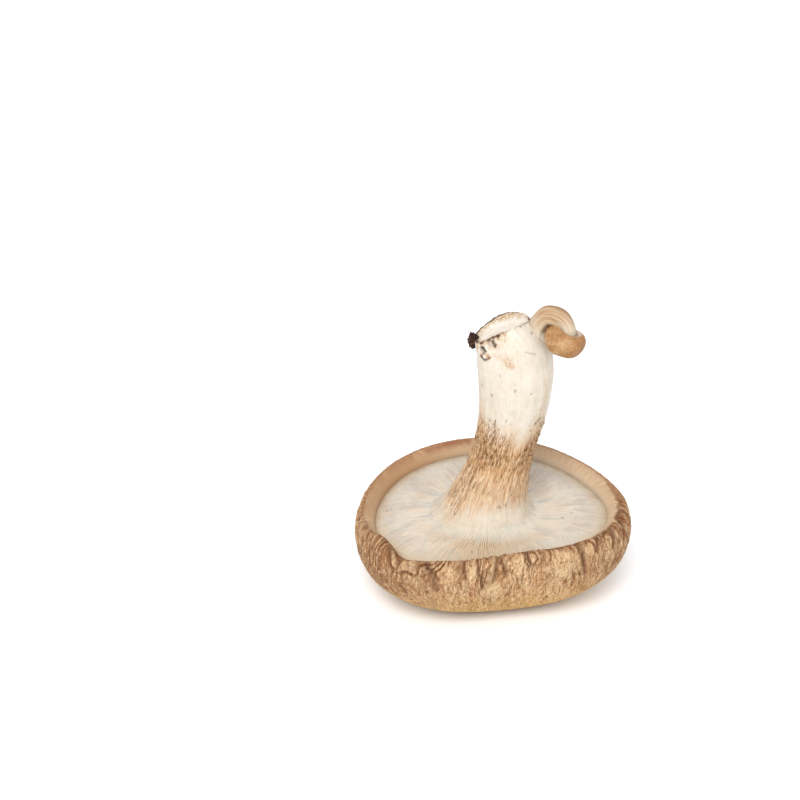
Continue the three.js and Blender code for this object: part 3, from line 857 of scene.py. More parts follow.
@dataclass
class Cap:
    """The domed cap: skin, rolled rim, bare inner band and the hidden floor under the gills."""

    form: CapForm
    columns: int = 960
    folds_round: int = 84
    wrinkles_round: int = 181
    fold_height: float = 0.7
    cross_share: float = 0.4
    wrinkle_height: float = 0.32
    swell_height: float = 0.4
    floor_drop: float = 2.6
    curl_out: float = 0.9
    curl_up: float = 0.8
    curl_reach: float = 4.2
    finish: CapSkinFinish = field(default_factory=CapSkinFinish)
    furrows: Sequence[Furrow] = (
        Furrow((239.1, 0.2), (242.6, 2.9), 0.8, 0.45),
        Furrow((242.6, 2.9), (245.0, 8.4), 0.9, 0.55),
        Furrow((273.5, -0.3), (271.0, 7.0), 0.6, 0.5),
        Furrow((273.5, -0.3), (277.2, 6.0), 0.6, 0.5),
        Furrow((311.4, 0.2), (313.2, 3.6), 0.6, 0.7),
        Furrow((313.2, 3.6), (314.6, 8.6), 0.4, 0.3),
        Furrow((297.0, -0.2), (311.4, -0.6), 0.6, 0.3),
        Furrow((230.2, 9.6), (231.4, 11.6), 0.6, 0.3),
        Furrow((322.0, -0.8), (319.5, 3.5), 0.5, 0.4),
        Furrow((331.0, -0.8), (328.0, 4.0), 0.5, 0.45),
        Furrow((339.5, -1.2), (336.0, 4.5), 0.6, 0.55),
        Furrow((348.0, -1.4), (344.5, 4.5), 0.6, 0.5),
        Furrow((355.0, -1.0), (352.5, 5.0), 0.5, 0.4),
        Furrow((256.0, 0.2), (257.0, 5.0), 0.4, 0.35),
        Furrow((262.5, 0.5), (265.5, 9.5), 0.4, 0.35),
        Furrow((288.0, 0.0), (289.5, 4.0), 0.4, 0.35),
        Furrow((221.0, 0.0), (226.5, 3.6), 0.5, 0.35),
    )
    swellings: Sequence[Swelling] = (
        Swelling(305.0, 4.6, 3.8, 4.6, 0.6),
        Swelling(260.5, 4.2, 1.5, 3.2, 0.25),
        Swelling(270.5, 10.5, 3.4, 3.0, 0.25),
        Swelling(250.0, 3.0, 1.6, 2.6, 0.2),
        Swelling(283.5, 4.0, 1.6, 3.4, 0.25),
        Swelling(222.0, 3.5, 2.0, 3.0, 0.2),
    )

    def profile(self) -> list[tuple[float, float]]:
        """Radius and height from the crown, over the crest, to the middle of the floor under the gills."""
        form = self.form
        flat = [(form.crown_flat * k / 5, 0.0) for k in range(5)]
        belly = []
        for k in range(44):
            turn = math.radians(90 * k / 44)
            share = form.crown_flat + (1 - form.crown_flat) * math.sin(turn) ** (2 / form.belly_power)
            belly.append((share, form.widest_at * (1 - math.cos(turn) ** (2 / form.belly_power))))
        brim = []
        for k in range(21):
            turn = math.radians(90 * k / 20)
            share = form.crest_at + (1 - form.crest_at) * math.cos(turn)
            brim.append((share, form.widest_at + (1 - form.widest_at) * math.sin(turn)))
        outer = [(form.radius * share, form.depth * height) for share, height in flat + belly + brim]
        inner = []
        for k in range(1, 17):
            t = k / 16
            share = form.crest_at + (form.gill_edge_at - form.crest_at) * math.sin(t * math.pi / 2) ** 0.9
            inner.append((form.radius * share, form.depth - form.gill_drop * t**1.25))
        under = [
            (form.radius * (form.gill_edge_at - 0.004), form.depth - form.gill_drop - self.floor_drop * k / 2)
            for k in (1, 2)
        ]
        floor = [
            (form.radius * form.gill_edge_at * k / 6, form.depth - form.gill_drop - self.floor_drop)
            for k in range(5, -1, -1)
        ]
        return outer + inner + under + floor

    def build(self) -> bpy.types.Object:
        """Turn the profile, give it the mushroom's outline, then raise the folds."""
        piece = turned("cap_flesh_and_skin", self.profile(), self.columns)
        mesh = piece.data
        points = points_of(mesh)
        angle = angle_of(points)
        share = radius_of(points) / self.form.radius
        height = points[:, 2] / self.form.depth
        run = read(mesh, "run")
        down = run[np.argmax(points[:, 2])] - run
        inside = down < -1e-4
        form = self.form
        radius = form.radius_at(angle, share)
        grown = height * (form.rim_height(angle) + form.lobe(angle) * height**4)
        follow = smoothstep(share, form.stem_seat_at, form.gill_edge_at)
        sunk = points[:, 2] + follow * (form.rim_height(angle) - form.depth)
        sunk += form.lobe(angle) * smoothstep(share, form.gill_edge_at, form.crest_at)
        near_crest = np.exp(-((down / self.curl_reach) ** 2))
        curl = (bump(angle, 214.0, 9.0) - 0.9 * bump(angle, 229.0, 6.5)) * near_crest
        radius = radius - self.curl_out * curl
        z = np.where(inside, sunk, grown) + self.curl_up * curl
        set_points(mesh, placed(angle, radius, z))
        points = points_of(mesh) + normals_of(mesh) * self.folds(mesh, angle, run, down)[:, None]
        points[:, 2] = np.maximum(points[:, 2], 0.0)
        mark(mesh, "height", np.where(inside, 1.0, height))
        mark(mesh, "down", down)
        mark(mesh, "stain", self.stain(angle, down))
        mark(mesh, "tan", np.clip(0.2 + 0.8 * bump(angle, 145.0, 58.0), 0, 1))
        # Browner skin at the left and right, partly its own tone and partly painted shade.
        brown_and_side_shade = 0.65 * bump(angle, 336.0, 24.0) + 1.0 * bump(angle, 216.0, 24.0)
        mark(mesh, "brown_and_side_shade", np.clip(brown_and_side_shade * smoothstep(height, 0.15, 0.6), 0, 1))
        mark(mesh, "flow", placed(angle, 1.0, run))
        set_points(mesh, points * MM)
        mesh.materials.append(self.finish.make())
        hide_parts("cap")
        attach(piece, "root")
        return piece

    def wander(self, angle: np.ndarray, run: np.ndarray, count: int, sway: float, seed: float) -> np.ndarray:
        """How far ridges that run down the skin wander, as a phase.

        Args:
            angle: Angle of each point round the cap.
            run: Distance of each point along the profile.
            count: Ridges in a full turn.
            sway: How far the ridges wander, in ridge widths.
            seed: Picks another pattern.

        Returns:
            The phase to add at each point.
        """
        slow = noise_round(angle, run, count * 0.045, 0.06, seed)
        quick = noise_round(angle, run, count * 0.12, 0.15, seed + 20.0)
        short = noise_round(angle, run, count * 0.2, 0.45, seed + 40.0)
        return math.pi * sway * (1.3 * slow + 0.8 * quick + 0.22 * short)

    def folds(self, mesh: bpy.types.Mesh, angle: np.ndarray, run: np.ndarray, down: np.ndarray) -> np.ndarray:
        """Raise rounded folds with sharp creases between them, which run from the crest down the skin.

        Args:
            mesh: The cap, which gets the folds' tones as attributes.
            angle: Angle of each point round the cap.
            run: Distance of each point along the profile, from the crown.
            down: Distance of each point below the crest, less than 0 inside the rim.

        Returns:
            How far each point moves out, in millimetres.
        """
        radius = self.form.radius
        on_skin = smoothstep(down, -1.8, 0.1) * smoothstep(run, 9.0, 19.0)
        behind = smoothstep(np.sin(angle), -0.15, 0.35) * (1 - smoothstep(down, 0.0, 4.0))
        strength = on_skin * (0.12 + 0.88 * (1 - smoothstep(down, 4.0, 19.0))) * (1 - 0.8 * behind)
        patchy = 0.55 + 0.45 * smoothstep(noise_round(angle, run, 6.0, 0.12, 91.0), -0.3, 0.2)
        patchy = np.maximum(patchy, bump(angle, 338.0, 22.0))
        main_wander = self.wander(angle, run, self.folds_round, 2.2, 4.0)
        second_wander = self.wander(angle, run, self.wrinkles_round, 3.0, 14.0)
        main = np.abs(np.sin(self.folds_round * angle / 2 + main_wander))
        second = np.abs(np.sin(self.wrinkles_round * angle / 2 + second_wander))
        cross = np.abs(noise_round(angle, run, 15.0, 0.2, 31.3))
        swell = noise_round(angle, run, 5.0, 0.1, 71.9)
        lift, pale, furrow_share = (np.zeros(len(angle)) for _ in range(3))
        for swelling in self.swellings:
            here = swelling.share(angle, down, radius)
            lift += swelling.lift * here
            pale = np.maximum(pale, here)
        strength_here = strength * patchy * (1 - 0.75 * pale) * (1 - 0.35 * bump(angle, 60.0, 80.0))
        shallow = 0.3 * on_skin + 0.7 * strength_here
        bold = 1 + 0.5 * bump(angle, 338.0, 20.0)
        lift += strength_here * bold * self.fold_height * (main**0.55 - 0.75)
        lift += shallow * self.wrinkle_height * (second**0.6 - 0.7)
        lift += strength_here * self.cross_share * self.fold_height * (np.clip(cross / 0.28, 0, 1) ** 0.6 - 0.7)
        lift += self.swell_height * strength * swell
        for furrow in self.furrows:
            here = furrow.share(angle, down, radius) * smoothstep(down, -2.6, -0.4)
            lift -= furrow.depth * here
            furrow_share = np.maximum(furrow_share, here)
        crease = 0.5 * (1 - smoothstep(cross, 0.0, 0.11)) * strength_here + 0.85 * furrow_share
        past = self.past_border(angle, down, lift)
        edge = smoothstep(-down, 0.0, 0.35) * (1 - smoothstep(past, -0.2, 0.3))
        edge *= smoothstep(np.cos(angle - math.radians(275)), -0.1, 0.5)
        edge *= 0.25 + 0.7 * smoothstep(noise_round(angle, down, 7.0, 0.0, 55.0), -0.3, 0.2)
        crease = np.maximum(crease, edge)
        mark_ridges(mesh, "fold_phase", angle, self.folds_round, main_wander)
        mark_ridges(mesh, "wrinkle_phase", angle, self.wrinkles_round, second_wander)
        mark(mesh, "strength", strength_here)
        mark(mesh, "shallow", shallow)
        mark(mesh, "crease", np.clip(crease, 0, 1))
        mark(mesh, "pale", pale)
        mark(mesh, "band", smoothstep(past, 0.0, 0.45))
        return lift

    def past_border(self, angle: np.ndarray, down: np.ndarray, lift: np.ndarray) -> np.ndarray:
        """How far each point is past the wandering line at the crest where the skin ends and the bare band begins."""
        front = smoothstep(np.cos(angle - math.radians(290)), -0.15, 0.6)
        line = 0.05 + 1.0 * front + 0.8 * lift
        line += 0.25 * noise_round(angle, down, 9.0, 0.0, 3.3) + 0.2 * noise_round(angle, down, 40.0, 0.0, 9.1)
        return -down - line

    def stain(self, angle: np.ndarray, down: np.ndarray) -> np.ndarray:
        """How brown the band may be: strongest near the crest, and at the back left."""
        near_crest = 1 - smoothstep(-down, 0.4, 3.6)
        return np.clip(near_crest * (0.3 + 0.8 * bump(angle, 108.0, 32.0)), 0, 1)


@dataclass
class Gills:
    """The thin blades that fill the cap's mouth, in three lengths, with the web of flesh that carries them."""

    form: CapForm
    doublings: int = 8
    thickness: float = 0.3
    root_growth: float = 0.6
    tip_slimming: float = 0.42
    foot_radius: float = 11.5
    foot_rise: float = 0.9
    line_at: float = 0.845
    line_width: float = 0.007
    blade_depth: float = 1.1
    along: int = 10
    web_drop: float = 0.32
    web_rises_from: float = 0.64
    web_columns: int = 288
    web_steps: int = 40
    starts: Sequence[float] = (0.325, 0.66, 0.49, 0.58, 0.33, 0.74, 0.54, 0.62, 0.325, 0.7, 0.46, 0.6)
    finish: GillFinish = field(default_factory=GillFinish)

    @property
    def count(self) -> int:
        """How many blades there are: three, doubled again and again."""
        return 3 * 2**self.doublings

    def build(self) -> bpy.types.Object:
        """Copy one blade until there are enough, then fit every copy between the foot and the rim."""
        bm = bmesh.new()
        number = bm.verts.layers.float.new("number")
        made = bmesh.ops.create_grid(bm, x_segments=self.along, y_segments=1, size=0.5)
        upright = Matrix.Rotation(math.radians(90), 3, "X")
        bmesh.ops.rotate(bm, verts=made["verts"], cent=(0, 0, 0), matrix=upright)
        bmesh.ops.translate(bm, verts=made["verts"], vec=(0.5, 0, -0.5))
        bmesh.ops.solidify(bm, geom=bm.faces[:], thickness=self.thickness)
        bmesh.ops.translate(bm, verts=bm.verts[:], vec=(0, -sum(v.co.y for v in bm.verts) / len(bm.verts), 0))
        blade = everything(bm)
        numbered(bm, blade, number, 1)
        numbered(bm, blade, number, 2)
        total = 3
        for _ in range(self.doublings):
            numbered(bm, everything(bm), number, total)
            total *= 2
        piece = settled(bm, "gill_blades")
        mesh = piece.data
        flat = points_of(mesh)
        points = self.fitted(flat, np.round(read(mesh, "number")))
        self.mark_tones(mesh, points, smoothstep(-flat[:, 2], 0.05, 0.75))
        set_points(mesh, points * MM)
        mesh.materials.append(self.finish.make())
        self.join_frame(piece)
        return piece

    def join_frame(self, piece: bpy.types.Object) -> None:
        """Let the piece stand for the gills of the model."""
        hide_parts("gills")
        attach(piece, "root")

    def fitted(self, flat: np.ndarray, number: np.ndarray) -> np.ndarray:
        """Each blade's points in their place round the stem.

        Args:
            flat: The blades as copied, all in one place: x along the blade, z from its root at -1 to its edge at 0.
            number: Which blade each point belongs to.

        Returns:
            The places in millimetres.
        """
        form = self.form
        angle = (number + 0.12 * np.sin(number * 2.4)) * TAU / self.count
        starts = np.asarray(self.starts)[(number % len(self.starts)).astype(int)]
        starts = starts + np.where(starts > 0.45, 0.055, 0.006) * np.sin(number * 127.1)
        start_radius = form.radius_at(angle, starts)
        end_radius = form.radius_at(angle, form.gill_edge_at + 0.004)
        along, down = np.clip(flat[:, 0], 0.0, 1.0) ** 1.6, -flat[:, 2]
        radius = start_radius + (end_radius - start_radius) * along
        share = form.share_at(angle, radius)
        top = self.surface(angle, share) + 0.05 * np.sin(number * 2.9)
        top = top - 0.12 * smoothstep(share, self.web_rises_from + 0.04, form.gill_edge_at - 0.01)
        rounded = 1.0 - 0.9 * (1.0 - smoothstep(along, 0.0, 0.3)) * (starts > 0.45)
        height = top - self.blade_depth * (1 - rounded * (1 - down))
        wave = noise_at(np.stack([radius * 0.2, number * 0.37, down * 0.4], axis=1))
        slim = 1.0 - self.tip_slimming * smoothstep(radius, 14.0, 28.0)
        aside = flat[:, 1] * slim * (1.0 + self.root_growth * down) + 0.1 * wave * smoothstep(along, 0.0, 0.15)
        x = radius * np.cos(angle) - aside * np.sin(angle)
        return np.stack([x, radius * np.sin(angle) + aside * np.cos(angle), height], axis=1)

    def surface(self, angle: np.ndarray, share: np.ndarray) -> np.ndarray:
        """Height of the free edges, a little uneven, and drawn up where they reach the foot."""
        uneven = 0.22 * noise_round(angle, share * 30.0, 2.5, 0.12, 6.0)
        foot = self.foot_rise * np.exp(-(self.form.radius_at(angle, share) - self.foot_radius) / 1.2)
        return self.form.gill_top(angle, share) + uneven * smoothstep(share, 0.42, 0.52) + foot

    def mark_tones(self, mesh: bpy.types.Mesh, points: np.ndarray, between_blades_shade: np.ndarray) -> None:
        """Mark how deep between the blades each point is, for the grey painted shade there, how beige, and where the
        gills' line runs.
        """
        angle = angle_of(points)
        radius = radius_of(points)
        share = self.form.share_at(angle, radius)
        wander = 0.012 * noise_round(angle, radius, 3.0, 0.0, 44.0)
        front = bump(angle, 268.0, 34.0) * smoothstep(radius, 13.5, 19.0)
        rim = smoothstep(share + wander, 0.74, 0.86)
        # How deep between the blades each point lies, which carries the painted shade there.
        mark(mesh, "between_blades_shade", between_blades_shade)
        mark(mesh, "warm", np.clip(0.8 * front + 0.65 * rim, 0, 1))
        mark(mesh, "foot", 1 - smoothstep(share + 2.0 * wander, 0.36, 0.58))
        line = np.exp(-(((share + wander - self.line_at) / self.line_width) ** 2))
        mark(mesh, "line", line * (0.3 + 0.7 * smoothstep(np.sin(angle), 0.0, 0.6)))
        mark(mesh, "flow", placed(angle, 1.0, radius))

    def web(self, made: bpy.types.Material) -> bpy.types.Object:
        """The flesh between the roots of the blades, in their material, which rises to meet the band."""
        form = self.form
        rim = form.gill_edge_at + 0.006
        profile = [(0.0, -1.0), (0.5 * form.radius, -1.0), (form.radius * rim, -1.0)]
        profile += [(form.radius * rim * k / self.web_steps, 0.0) for k in range(self.web_steps, -1, -1)]
        piece = turned("gill_web", profile, self.web_columns)
        mesh = piece.data
        flat = points_of(mesh)
        angle = angle_of(flat)
        share = radius_of(flat) / form.radius
        radius = form.radius_at(angle, share)
        rise = smoothstep(share, self.web_rises_from, form.gill_edge_at)
        drop = self.web_drop * (1 - rise) + 0.17 + 0.9 * smoothstep(share, form.gill_edge_at - 0.008, rim)
        height = self.surface(angle, np.maximum(share, 0.3)) - drop + 1.4 * flat[:, 2]
        points = placed(angle, radius, height)
        self.mark_tones(mesh, points, 1 - rise)
        set_points(mesh, points * MM)
        mesh.materials.append(made)
        self.join_frame(piece)
        return piece


class Tone(Enum):
    """What a mark on the stem's flesh is made of; each is an attribute that the finish reads."""

    DARK = "dark"
    # Rust-coloured marks: stains near the cut, and partly painted shade down the stem's sides.
    RUST_AND_EDGE_SHADE = "rust_and_edge_shade"
    PALE = "pale"


@dataclass(frozen=True)
class Scar:
    """A mark on the stem along a short line between two places, in millimetres, sunk or raised a little."""

    start: tuple[float, float, float]
    end: tuple[float, float, float]
    half_width: float
    tone: Tone
    strength: float = 1.0
    sink: float = 0.0

    def share(self, points: np.ndarray, ragged: np.ndarray) -> np.ndarray:
        """1 in the middle of the mark, falling to 0 outside its ragged edge."""
        a, b = np.array(self.start), np.array(self.end)
        line = b - a
        t = np.clip((points - a) @ line / max(line @ line, 1e-9), 0, 1)
        away = np.linalg.norm(points - a - t[:, None] * line, axis=1)
        return 1 - smoothstep(away + self.half_width * 0.7 * ragged, 0.45 * self.half_width, 1.25 * self.half_width)


@dataclass
class Stem:
    """The stem, from the skirt of its foot to the slanting cut."""

    rows: Sequence[Sequence[float]] = (
        (15.1, 0.0, 0.0, 13.2, 12.8),
        (17.6, 0.0, 0.0, 13.4, 13.0),
        (18.2, 0.0, 0.0, 15.2, 14.8),
        (18.45, 0.0, 0.0, 15.6, 15.2),
        (18.7, 0.0, 0.0, 15.0, 14.6),
        (19.1, 0.0, 0.0, 13.6, 13.2),
        (19.6, 0.0, 0.0, 12.4, 12.1),
        (20.2, 0.05, 0.0, 11.6, 11.3),
        (21.2, 0.1, 0.0, 11.0, 10.7),
        (23.0, 0.3, 0.1, 10.2, 9.9),
        (26.0, 0.8, 0.2, 9.4, 9.0),
        (30.0, 1.7, 0.3, 8.6, 8.2),
        (34.5, 3.0, 0.5, 7.8, 7.6),
        (39.5, 4.3, 0.7, 7.6, 7.4),
        (45.0, 5.4, 0.8, 8.2, 7.8),
        (50.5, 6.1, 0.9, 8.8, 8.3),
        (56.0, 6.3, 0.9, 9.3, 8.7),
        (61.5, 6.0, 0.9, 9.5, 8.9),
        (65.5, 5.5, 0.9, 9.2, 8.6),
        (68.6, 4.1, 0.6, 8.2, 7.4),
        (71.5, 2.2, 0.3, 6.6, 5.9),
    )
    cut_edge: Sequence[Sequence[float]] = (
        (-4.6, 68.4, 68.0),
        (-3.5, 69.0, 68.6),
        (0.0, 71.0, 71.5),
        (2.0, 72.0, 72.8),
        (4.5, 73.1, 73.5),
        (8.9, 74.0, 73.9),
    )
    scars: Sequence[Scar] = (
        Scar((-2.6, -3.5, 67.7), (-2.0, -3.8, 66.7), 0.8, Tone.DARK, 1.0, 1.0),
        Scar((-1.6, -3.9, 67.0), (-1.1, -4.2, 66.3), 0.55, Tone.DARK, 1.0, 0.5),
        Scar((-1.9, -4.2, 66.1), (-1.7, -4.4, 65.6), 0.45, Tone.PALE, 1.0, -0.4),
        Scar((-2.8, -3.3, 65.4), (-1.8, -4.3, 64.7), 0.5, Tone.DARK, 0.85, 0.2),
        Scar((-1.8, -4.3, 64.7), (-0.7, -5.2, 65.9), 0.42, Tone.DARK, 0.6, 0.1),
        Scar((-2.6, -3.6, 65.6), (-0.9, -5.1, 66.0), 0.9, Tone.RUST_AND_EDGE_SHADE, 0.8),
        Scar((0.1, -5.4, 70.2), (0.4, -5.6, 69.5), 0.75, Tone.DARK, 0.9, 0.4),
        Scar((-0.9, -5.1, 69.5), (-0.5, -5.3, 69.1), 0.4, Tone.DARK, 0.4),
        Scar((-3.3, -2.9, 68.9), (-1.3, -4.1, 70.3), 0.62, Tone.DARK, 0.9, 0.25),
        Scar((-0.9, -4.7, 70.8), (1.0, -5.5, 72.1), 0.72, Tone.DARK, 0.95, 0.3),
        Scar((1.2, -5.5, 72.1), (2.2, -5.4, 72.8), 0.35, Tone.DARK, 0.8, 0.2),
        Scar((-3.0, -3.4, 69.0), (2.4, -5.6, 72.4), 1.1, Tone.RUST_AND_EDGE_SHADE, 0.85),
        Scar((-1.0, -5.4, 68.6), (1.6, -6.5, 69.4), 0.8, Tone.RUST_AND_EDGE_SHADE, 0.35),
        Scar((1.9, -6.0, 71.3), (2.8, -6.3, 71.0), 0.7, Tone.RUST_AND_EDGE_SHADE, 0.5),
        Scar((-3.4, -2.4, 68.6), (-3.6, -2.3, 66.4), 0.45, Tone.RUST_AND_EDGE_SHADE, 0.8),
        Scar((3.0, -5.5, 73.2), (6.5, -4.0, 73.9), 0.24, Tone.DARK, 0.6, 0.15),
        Scar((6.5, -4.0, 73.9), (8.8, -1.4, 73.9), 0.24, Tone.DARK, 0.75, 0.15),
        Scar((9.1, 0.9, 73.9), (8.9, -1.4, 73.1), 0.55, Tone.DARK, 0.95, 0.2),
        Scar((3.4, -7.5, 66.0), (4.2, -7.6, 64.8), 1.2, Tone.RUST_AND_EDGE_SHADE, 0.6),
        Scar((0.4, -6.6, 67.0), (2.6, -7.3, 66.7), 1.0, Tone.RUST_AND_EDGE_SHADE, 0.28),
        Scar((7.8, -7.0, 68.3), (10.4, -6.2, 67.2), 0.2, Tone.DARK, 0.32, 0.1),
        Scar((11.1, -5.4, 47.6), (12.4, -4.5, 48.5), 0.3, Tone.DARK, 0.7, 0.1),
        Scar((-2.3, -2.6, 57.2), (-2.3, -2.6, 56.9), 0.3, Tone.DARK, 0.5),
        Scar((5.7, -7.9, 58.3), (5.6, -7.9, 57.6), 0.3, Tone.DARK, 0.35),
        Scar((3.6, -7.0, 49.3), (3.7, -7.0, 48.9), 0.3, Tone.DARK, 0.35),
        Scar((1.8, -7.1, 62.3), (1.9, -7.1, 61.5), 0.25, Tone.DARK, 0.25),
        # These five rust-coloured marks down the stem's right and left sides are partly stain and partly painted
        # shade, darkening the sides as the light falls off.
        Scar((13.2, -5.0, 59.0), (13.8, -4.2, 55.0), 0.8, Tone.RUST_AND_EDGE_SHADE, 0.35),
        Scar((13.5, -4.3, 54.5), (12.6, -4.9, 50.5), 0.9, Tone.RUST_AND_EDGE_SHADE, 0.4),
        Scar((-2.7, -0.9, 57.0), (-2.4, -1.6, 48.0), 1.6, Tone.RUST_AND_EDGE_SHADE, 0.32),
        Scar((-2.3, -1.8, 50.0), (-2.0, -2.4, 44.0), 2.0, Tone.RUST_AND_EDGE_SHADE, 0.45),
        Scar((12.0, -5.2, 49.0), (11.2, -4.7, 44.0), 1.6, Tone.RUST_AND_EDGE_SHADE, 0.4),
    )
    columns: int = 288
    rings: int = 270
    face_rings: int = 22
    flare_spread: float = 1.6
    flare_towards: float = 185.0
    # How many thin painted shade lines run round the foot.
    slit_shades_round: int = 192
    cut_hollow: float = 1.0
    finish: StemFinish = field(default_factory=StemFinish)

    def place(self, angle: np.ndarray, height: np.ndarray, share: np.ndarray) -> np.ndarray:
        """Places on the stem, before its relief.

        Args:
            angle: Angle round the stem's own middle.
            height: Height in the table of rings.
            share: 1 on the skin, less inside the cut face.

        Returns:
            The places in millimetres.
        """
        high = self.rows[-1][0]
        flare = self.flare_spread * np.maximum(0, np.cos(angle - math.radians(self.flare_towards)))
        flare = flare * (1 - smoothstep(height, 19.0, 30.0))
        x = curve_through(height, self.rows, 1)
        x = x + (curve_through(height, self.rows, 3) + flare) * share * np.cos(angle)
        y = curve_through(height, self.rows, 2)
        y = y + (curve_through(height, self.rows, 4) + flare) * share * np.sin(angle)
        front = smoothstep(-y, -2.0, 4.0)
        far, near = curve_through(x, self.cut_edge, 1), curve_through(x, self.cut_edge, 2)
        edge = far + (near - far) * front
        slant = smoothstep(height, 60.0, high)
        hollow = self.cut_hollow * smoothstep(1 - share, 0.02, 0.5) * (height > high - 0.01)
        return np.stack([x, y, height + slant * (edge - high) - hollow], axis=1)

    def build(self) -> bpy.types.Object:
        """Turn a plain rod with a closed top, bend it to the stem's line, then raise ribs and scales."""
        low, high = self.rows[0][0], self.rows[-1][0]
        side = [(1.0, low + (high - low) * k / self.rings) for k in range(self.rings + 1)]
        face = [(1.0 - (k / self.face_rings) ** 1.5, high) for k in range(1, self.face_rings + 1)]
        piece = turned("stem_flesh_and_scales", [(0.0, low), (0.5, low), *side, *face], self.columns)
        mesh = piece.data
        flat = points_of(mesh)
        angle = angle_of(flat)
        share = np.minimum(radius_of(flat), 1.0)
        height = flat[:, 2]
        on_cut = np.where((share < 0.9999) & (height > high - 0.01), 1.0 - share, 0.0)
        set_points(mesh, self.place(angle, height, share))
        normals = normals_of(mesh)
        points = points_of(mesh)
        rough = self.roughness(angle, height)
        skirt = smoothstep(height, 18.0, 18.7) * (1 - smoothstep(height, 19.0, 20.4))
        rays = 0.5 * noise_round(angle, height, 10.0, 0.3, 97.0) + 0.3 * noise_round(angle, height, 2.2, 0.0, 27.0)
        lift = self.relief(angle, height, share, rough)
        side_skin = np.where(on_cut > 0, 0.0, 1.0)
        ragged = noise_at(points * 1.3 + 5.0)
        tones = {tone: np.zeros(len(points)) for tone in Tone}
        for scar in self.scars:
            here = scar.share(points, ragged) * scar.strength
            tones[scar.tone] = np.maximum(tones[scar.tone], here)
            lift -= scar.sink * here
        lip = (1 - smoothstep(on_cut, 0.0, 0.09)) * smoothstep(height, high - 1.2, high)
        torn = noise_round(angle, height * 0, 6.0, 0.0, 81.0) + 0.5 * noise_round(angle, height * 0, 17.0, 0.0, 83.0)
        points += normals * lift[:, None]
        points[:, 0] += skirt * rays * np.cos(angle) * side_skin
        points[:, 1] += skirt * rays * np.sin(angle) * side_skin
        points[:, 2] += 0.45 * lip * torn + 0.18 * noise_at(points * 0.6) * smoothstep(on_cut, 0.0, 0.2)
        self.mark_tones(mesh, angle, height, on_cut, rough)
        for tone, amount in tones.items():
            mark(mesh, tone.value, amount)
        set_points(mesh, points * MM)
        mesh.materials.append(self.finish.make())
        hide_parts("stem")
        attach(piece, "root")
        return piece

    def roughness(self, angle: np.ndarray, height: np.ndarray) -> np.ndarray:
        """Uneven upright fibres: 0 in the gaps between them, about 1 on the strongest."""
        sway = angle + 0.05 * noise_round(angle, height, 4.0, 0.15, 21.0)
        height = np.where(height < 34.0, 34.0 + 0.45 * (height - 34.0), height)
        broad = np.abs(noise_round(sway, height, 13.0, 0.26, 25.0))
        slim = np.abs(noise_round(sway, height, 27.0, 0.5, 35.0))
        return np.clip(0.65 * broad / 0.35 + 0.35 * slim / 0.35, 0, 1)

    def relief(self, angle: np.ndarray, height: np.ndarray, share: np.ndarray, rough: np.ndarray) -> np.ndarray:
        """Soft lengthwise waves all over, and rough fibres in the brown zone."""
        waves = 0.26 * noise_round(angle, height, 2.6, 0.05, 5.0)
        waves += 0.1 * noise_round(angle, height, 8.0, 0.09, 15.0)
        waves *= smoothstep(height, 19.0, 22.0)
        fibres = 0.55 * (rough - 0.5) * np.clip(self.scaly(angle, height) + 0.12, 0, 1)
        return (waves + fibres) * smoothstep(share, 0.6, 1.0)

    def scaly(self, angle: np.ndarray, height: np.ndarray) -> np.ndarray:
        """How far a point is in the brown scaly zone above the foot, which has ragged ends."""
        wander = 3.0 * noise_round(angle, height, 2.5, 0.05, 41.0)
        wander += 3.4 * noise_round(angle, height, 9.0, 0.12, 43.0)
        sides = np.maximum(bump(angle, 212.0, 38.0), bump(angle, 340.0, 32.0))
        bare = 0.8 * bump(angle, 285.0, 15.0) * smoothstep(height + 0.6 * wander, 38.0, 42.0)
        body = smoothstep(height + wander, 32.0, 38.0) + 0.4 * smoothstep(height + 0.6 * wander, 22.5, 30.0)
        body = body + 0.7 * bump(angle, 205.0, 20.0) * smoothstep(height + 0.4 * wander, 20.0, 23.5)
        zone = np.minimum(body, 1.0) * (1 - smoothstep(height + wander - 3.0 * sides, 40.5, 47.0))
        return np.clip(zone * (0.62 + 0.5 * sides - bare), 0, 1)

    def mark_tones(
        self, mesh: bpy.types.Mesh, angle: np.ndarray, height: np.ndarray, on_cut: np.ndarray, rough: np.ndarray
    ) -> None:
        """Mark the scaly zone, its peach tint, and the cut with its brown edge."""
        zone = self.scaly(angle, height)
        wander = 2.5 * noise_round(angle, height, 6.0, 0.08, 63.0)
        flank = 4.0 * bump(angle, 205.0, 26.0)
        tint = smoothstep(height + wander + flank, 21.5, 28.0) * (1 - smoothstep(height + wander, 40.0, 50.0))
        gaps = 1 - smoothstep(rough, 0.12, 0.55)
        tint = tint * (1 - 0.7 * bump(angle, 285.0, 15.0) * smoothstep(height + wander, 38.0, 43.0))
        mark(mesh, "tint", np.clip((0.7 + 0.2 * smoothstep(height, 29.0, 35.0)) * tint + 0.1 * gaps, 0, 1))
        dense = smoothstep(height + 0.6 * wander, 34.0, 37.0) * (1 - smoothstep(height + wander, 41.5, 45.0))
        soft = 1 - 0.5 * bump(angle, 205.0, 26.0) * (1 - smoothstep(height, 22.0, 28.0))
        mark(mesh, "gaps", np.clip(gaps * soft * (0.95 * zone + 0.45 * zone * dense + 0.14 * tint), 0, 1))
        mark(mesh, "dense", dense * zone)
        mark(mesh, "zone", zone)
        mark(mesh, "foot", 1 - smoothstep(height, 18.8, 23.0))
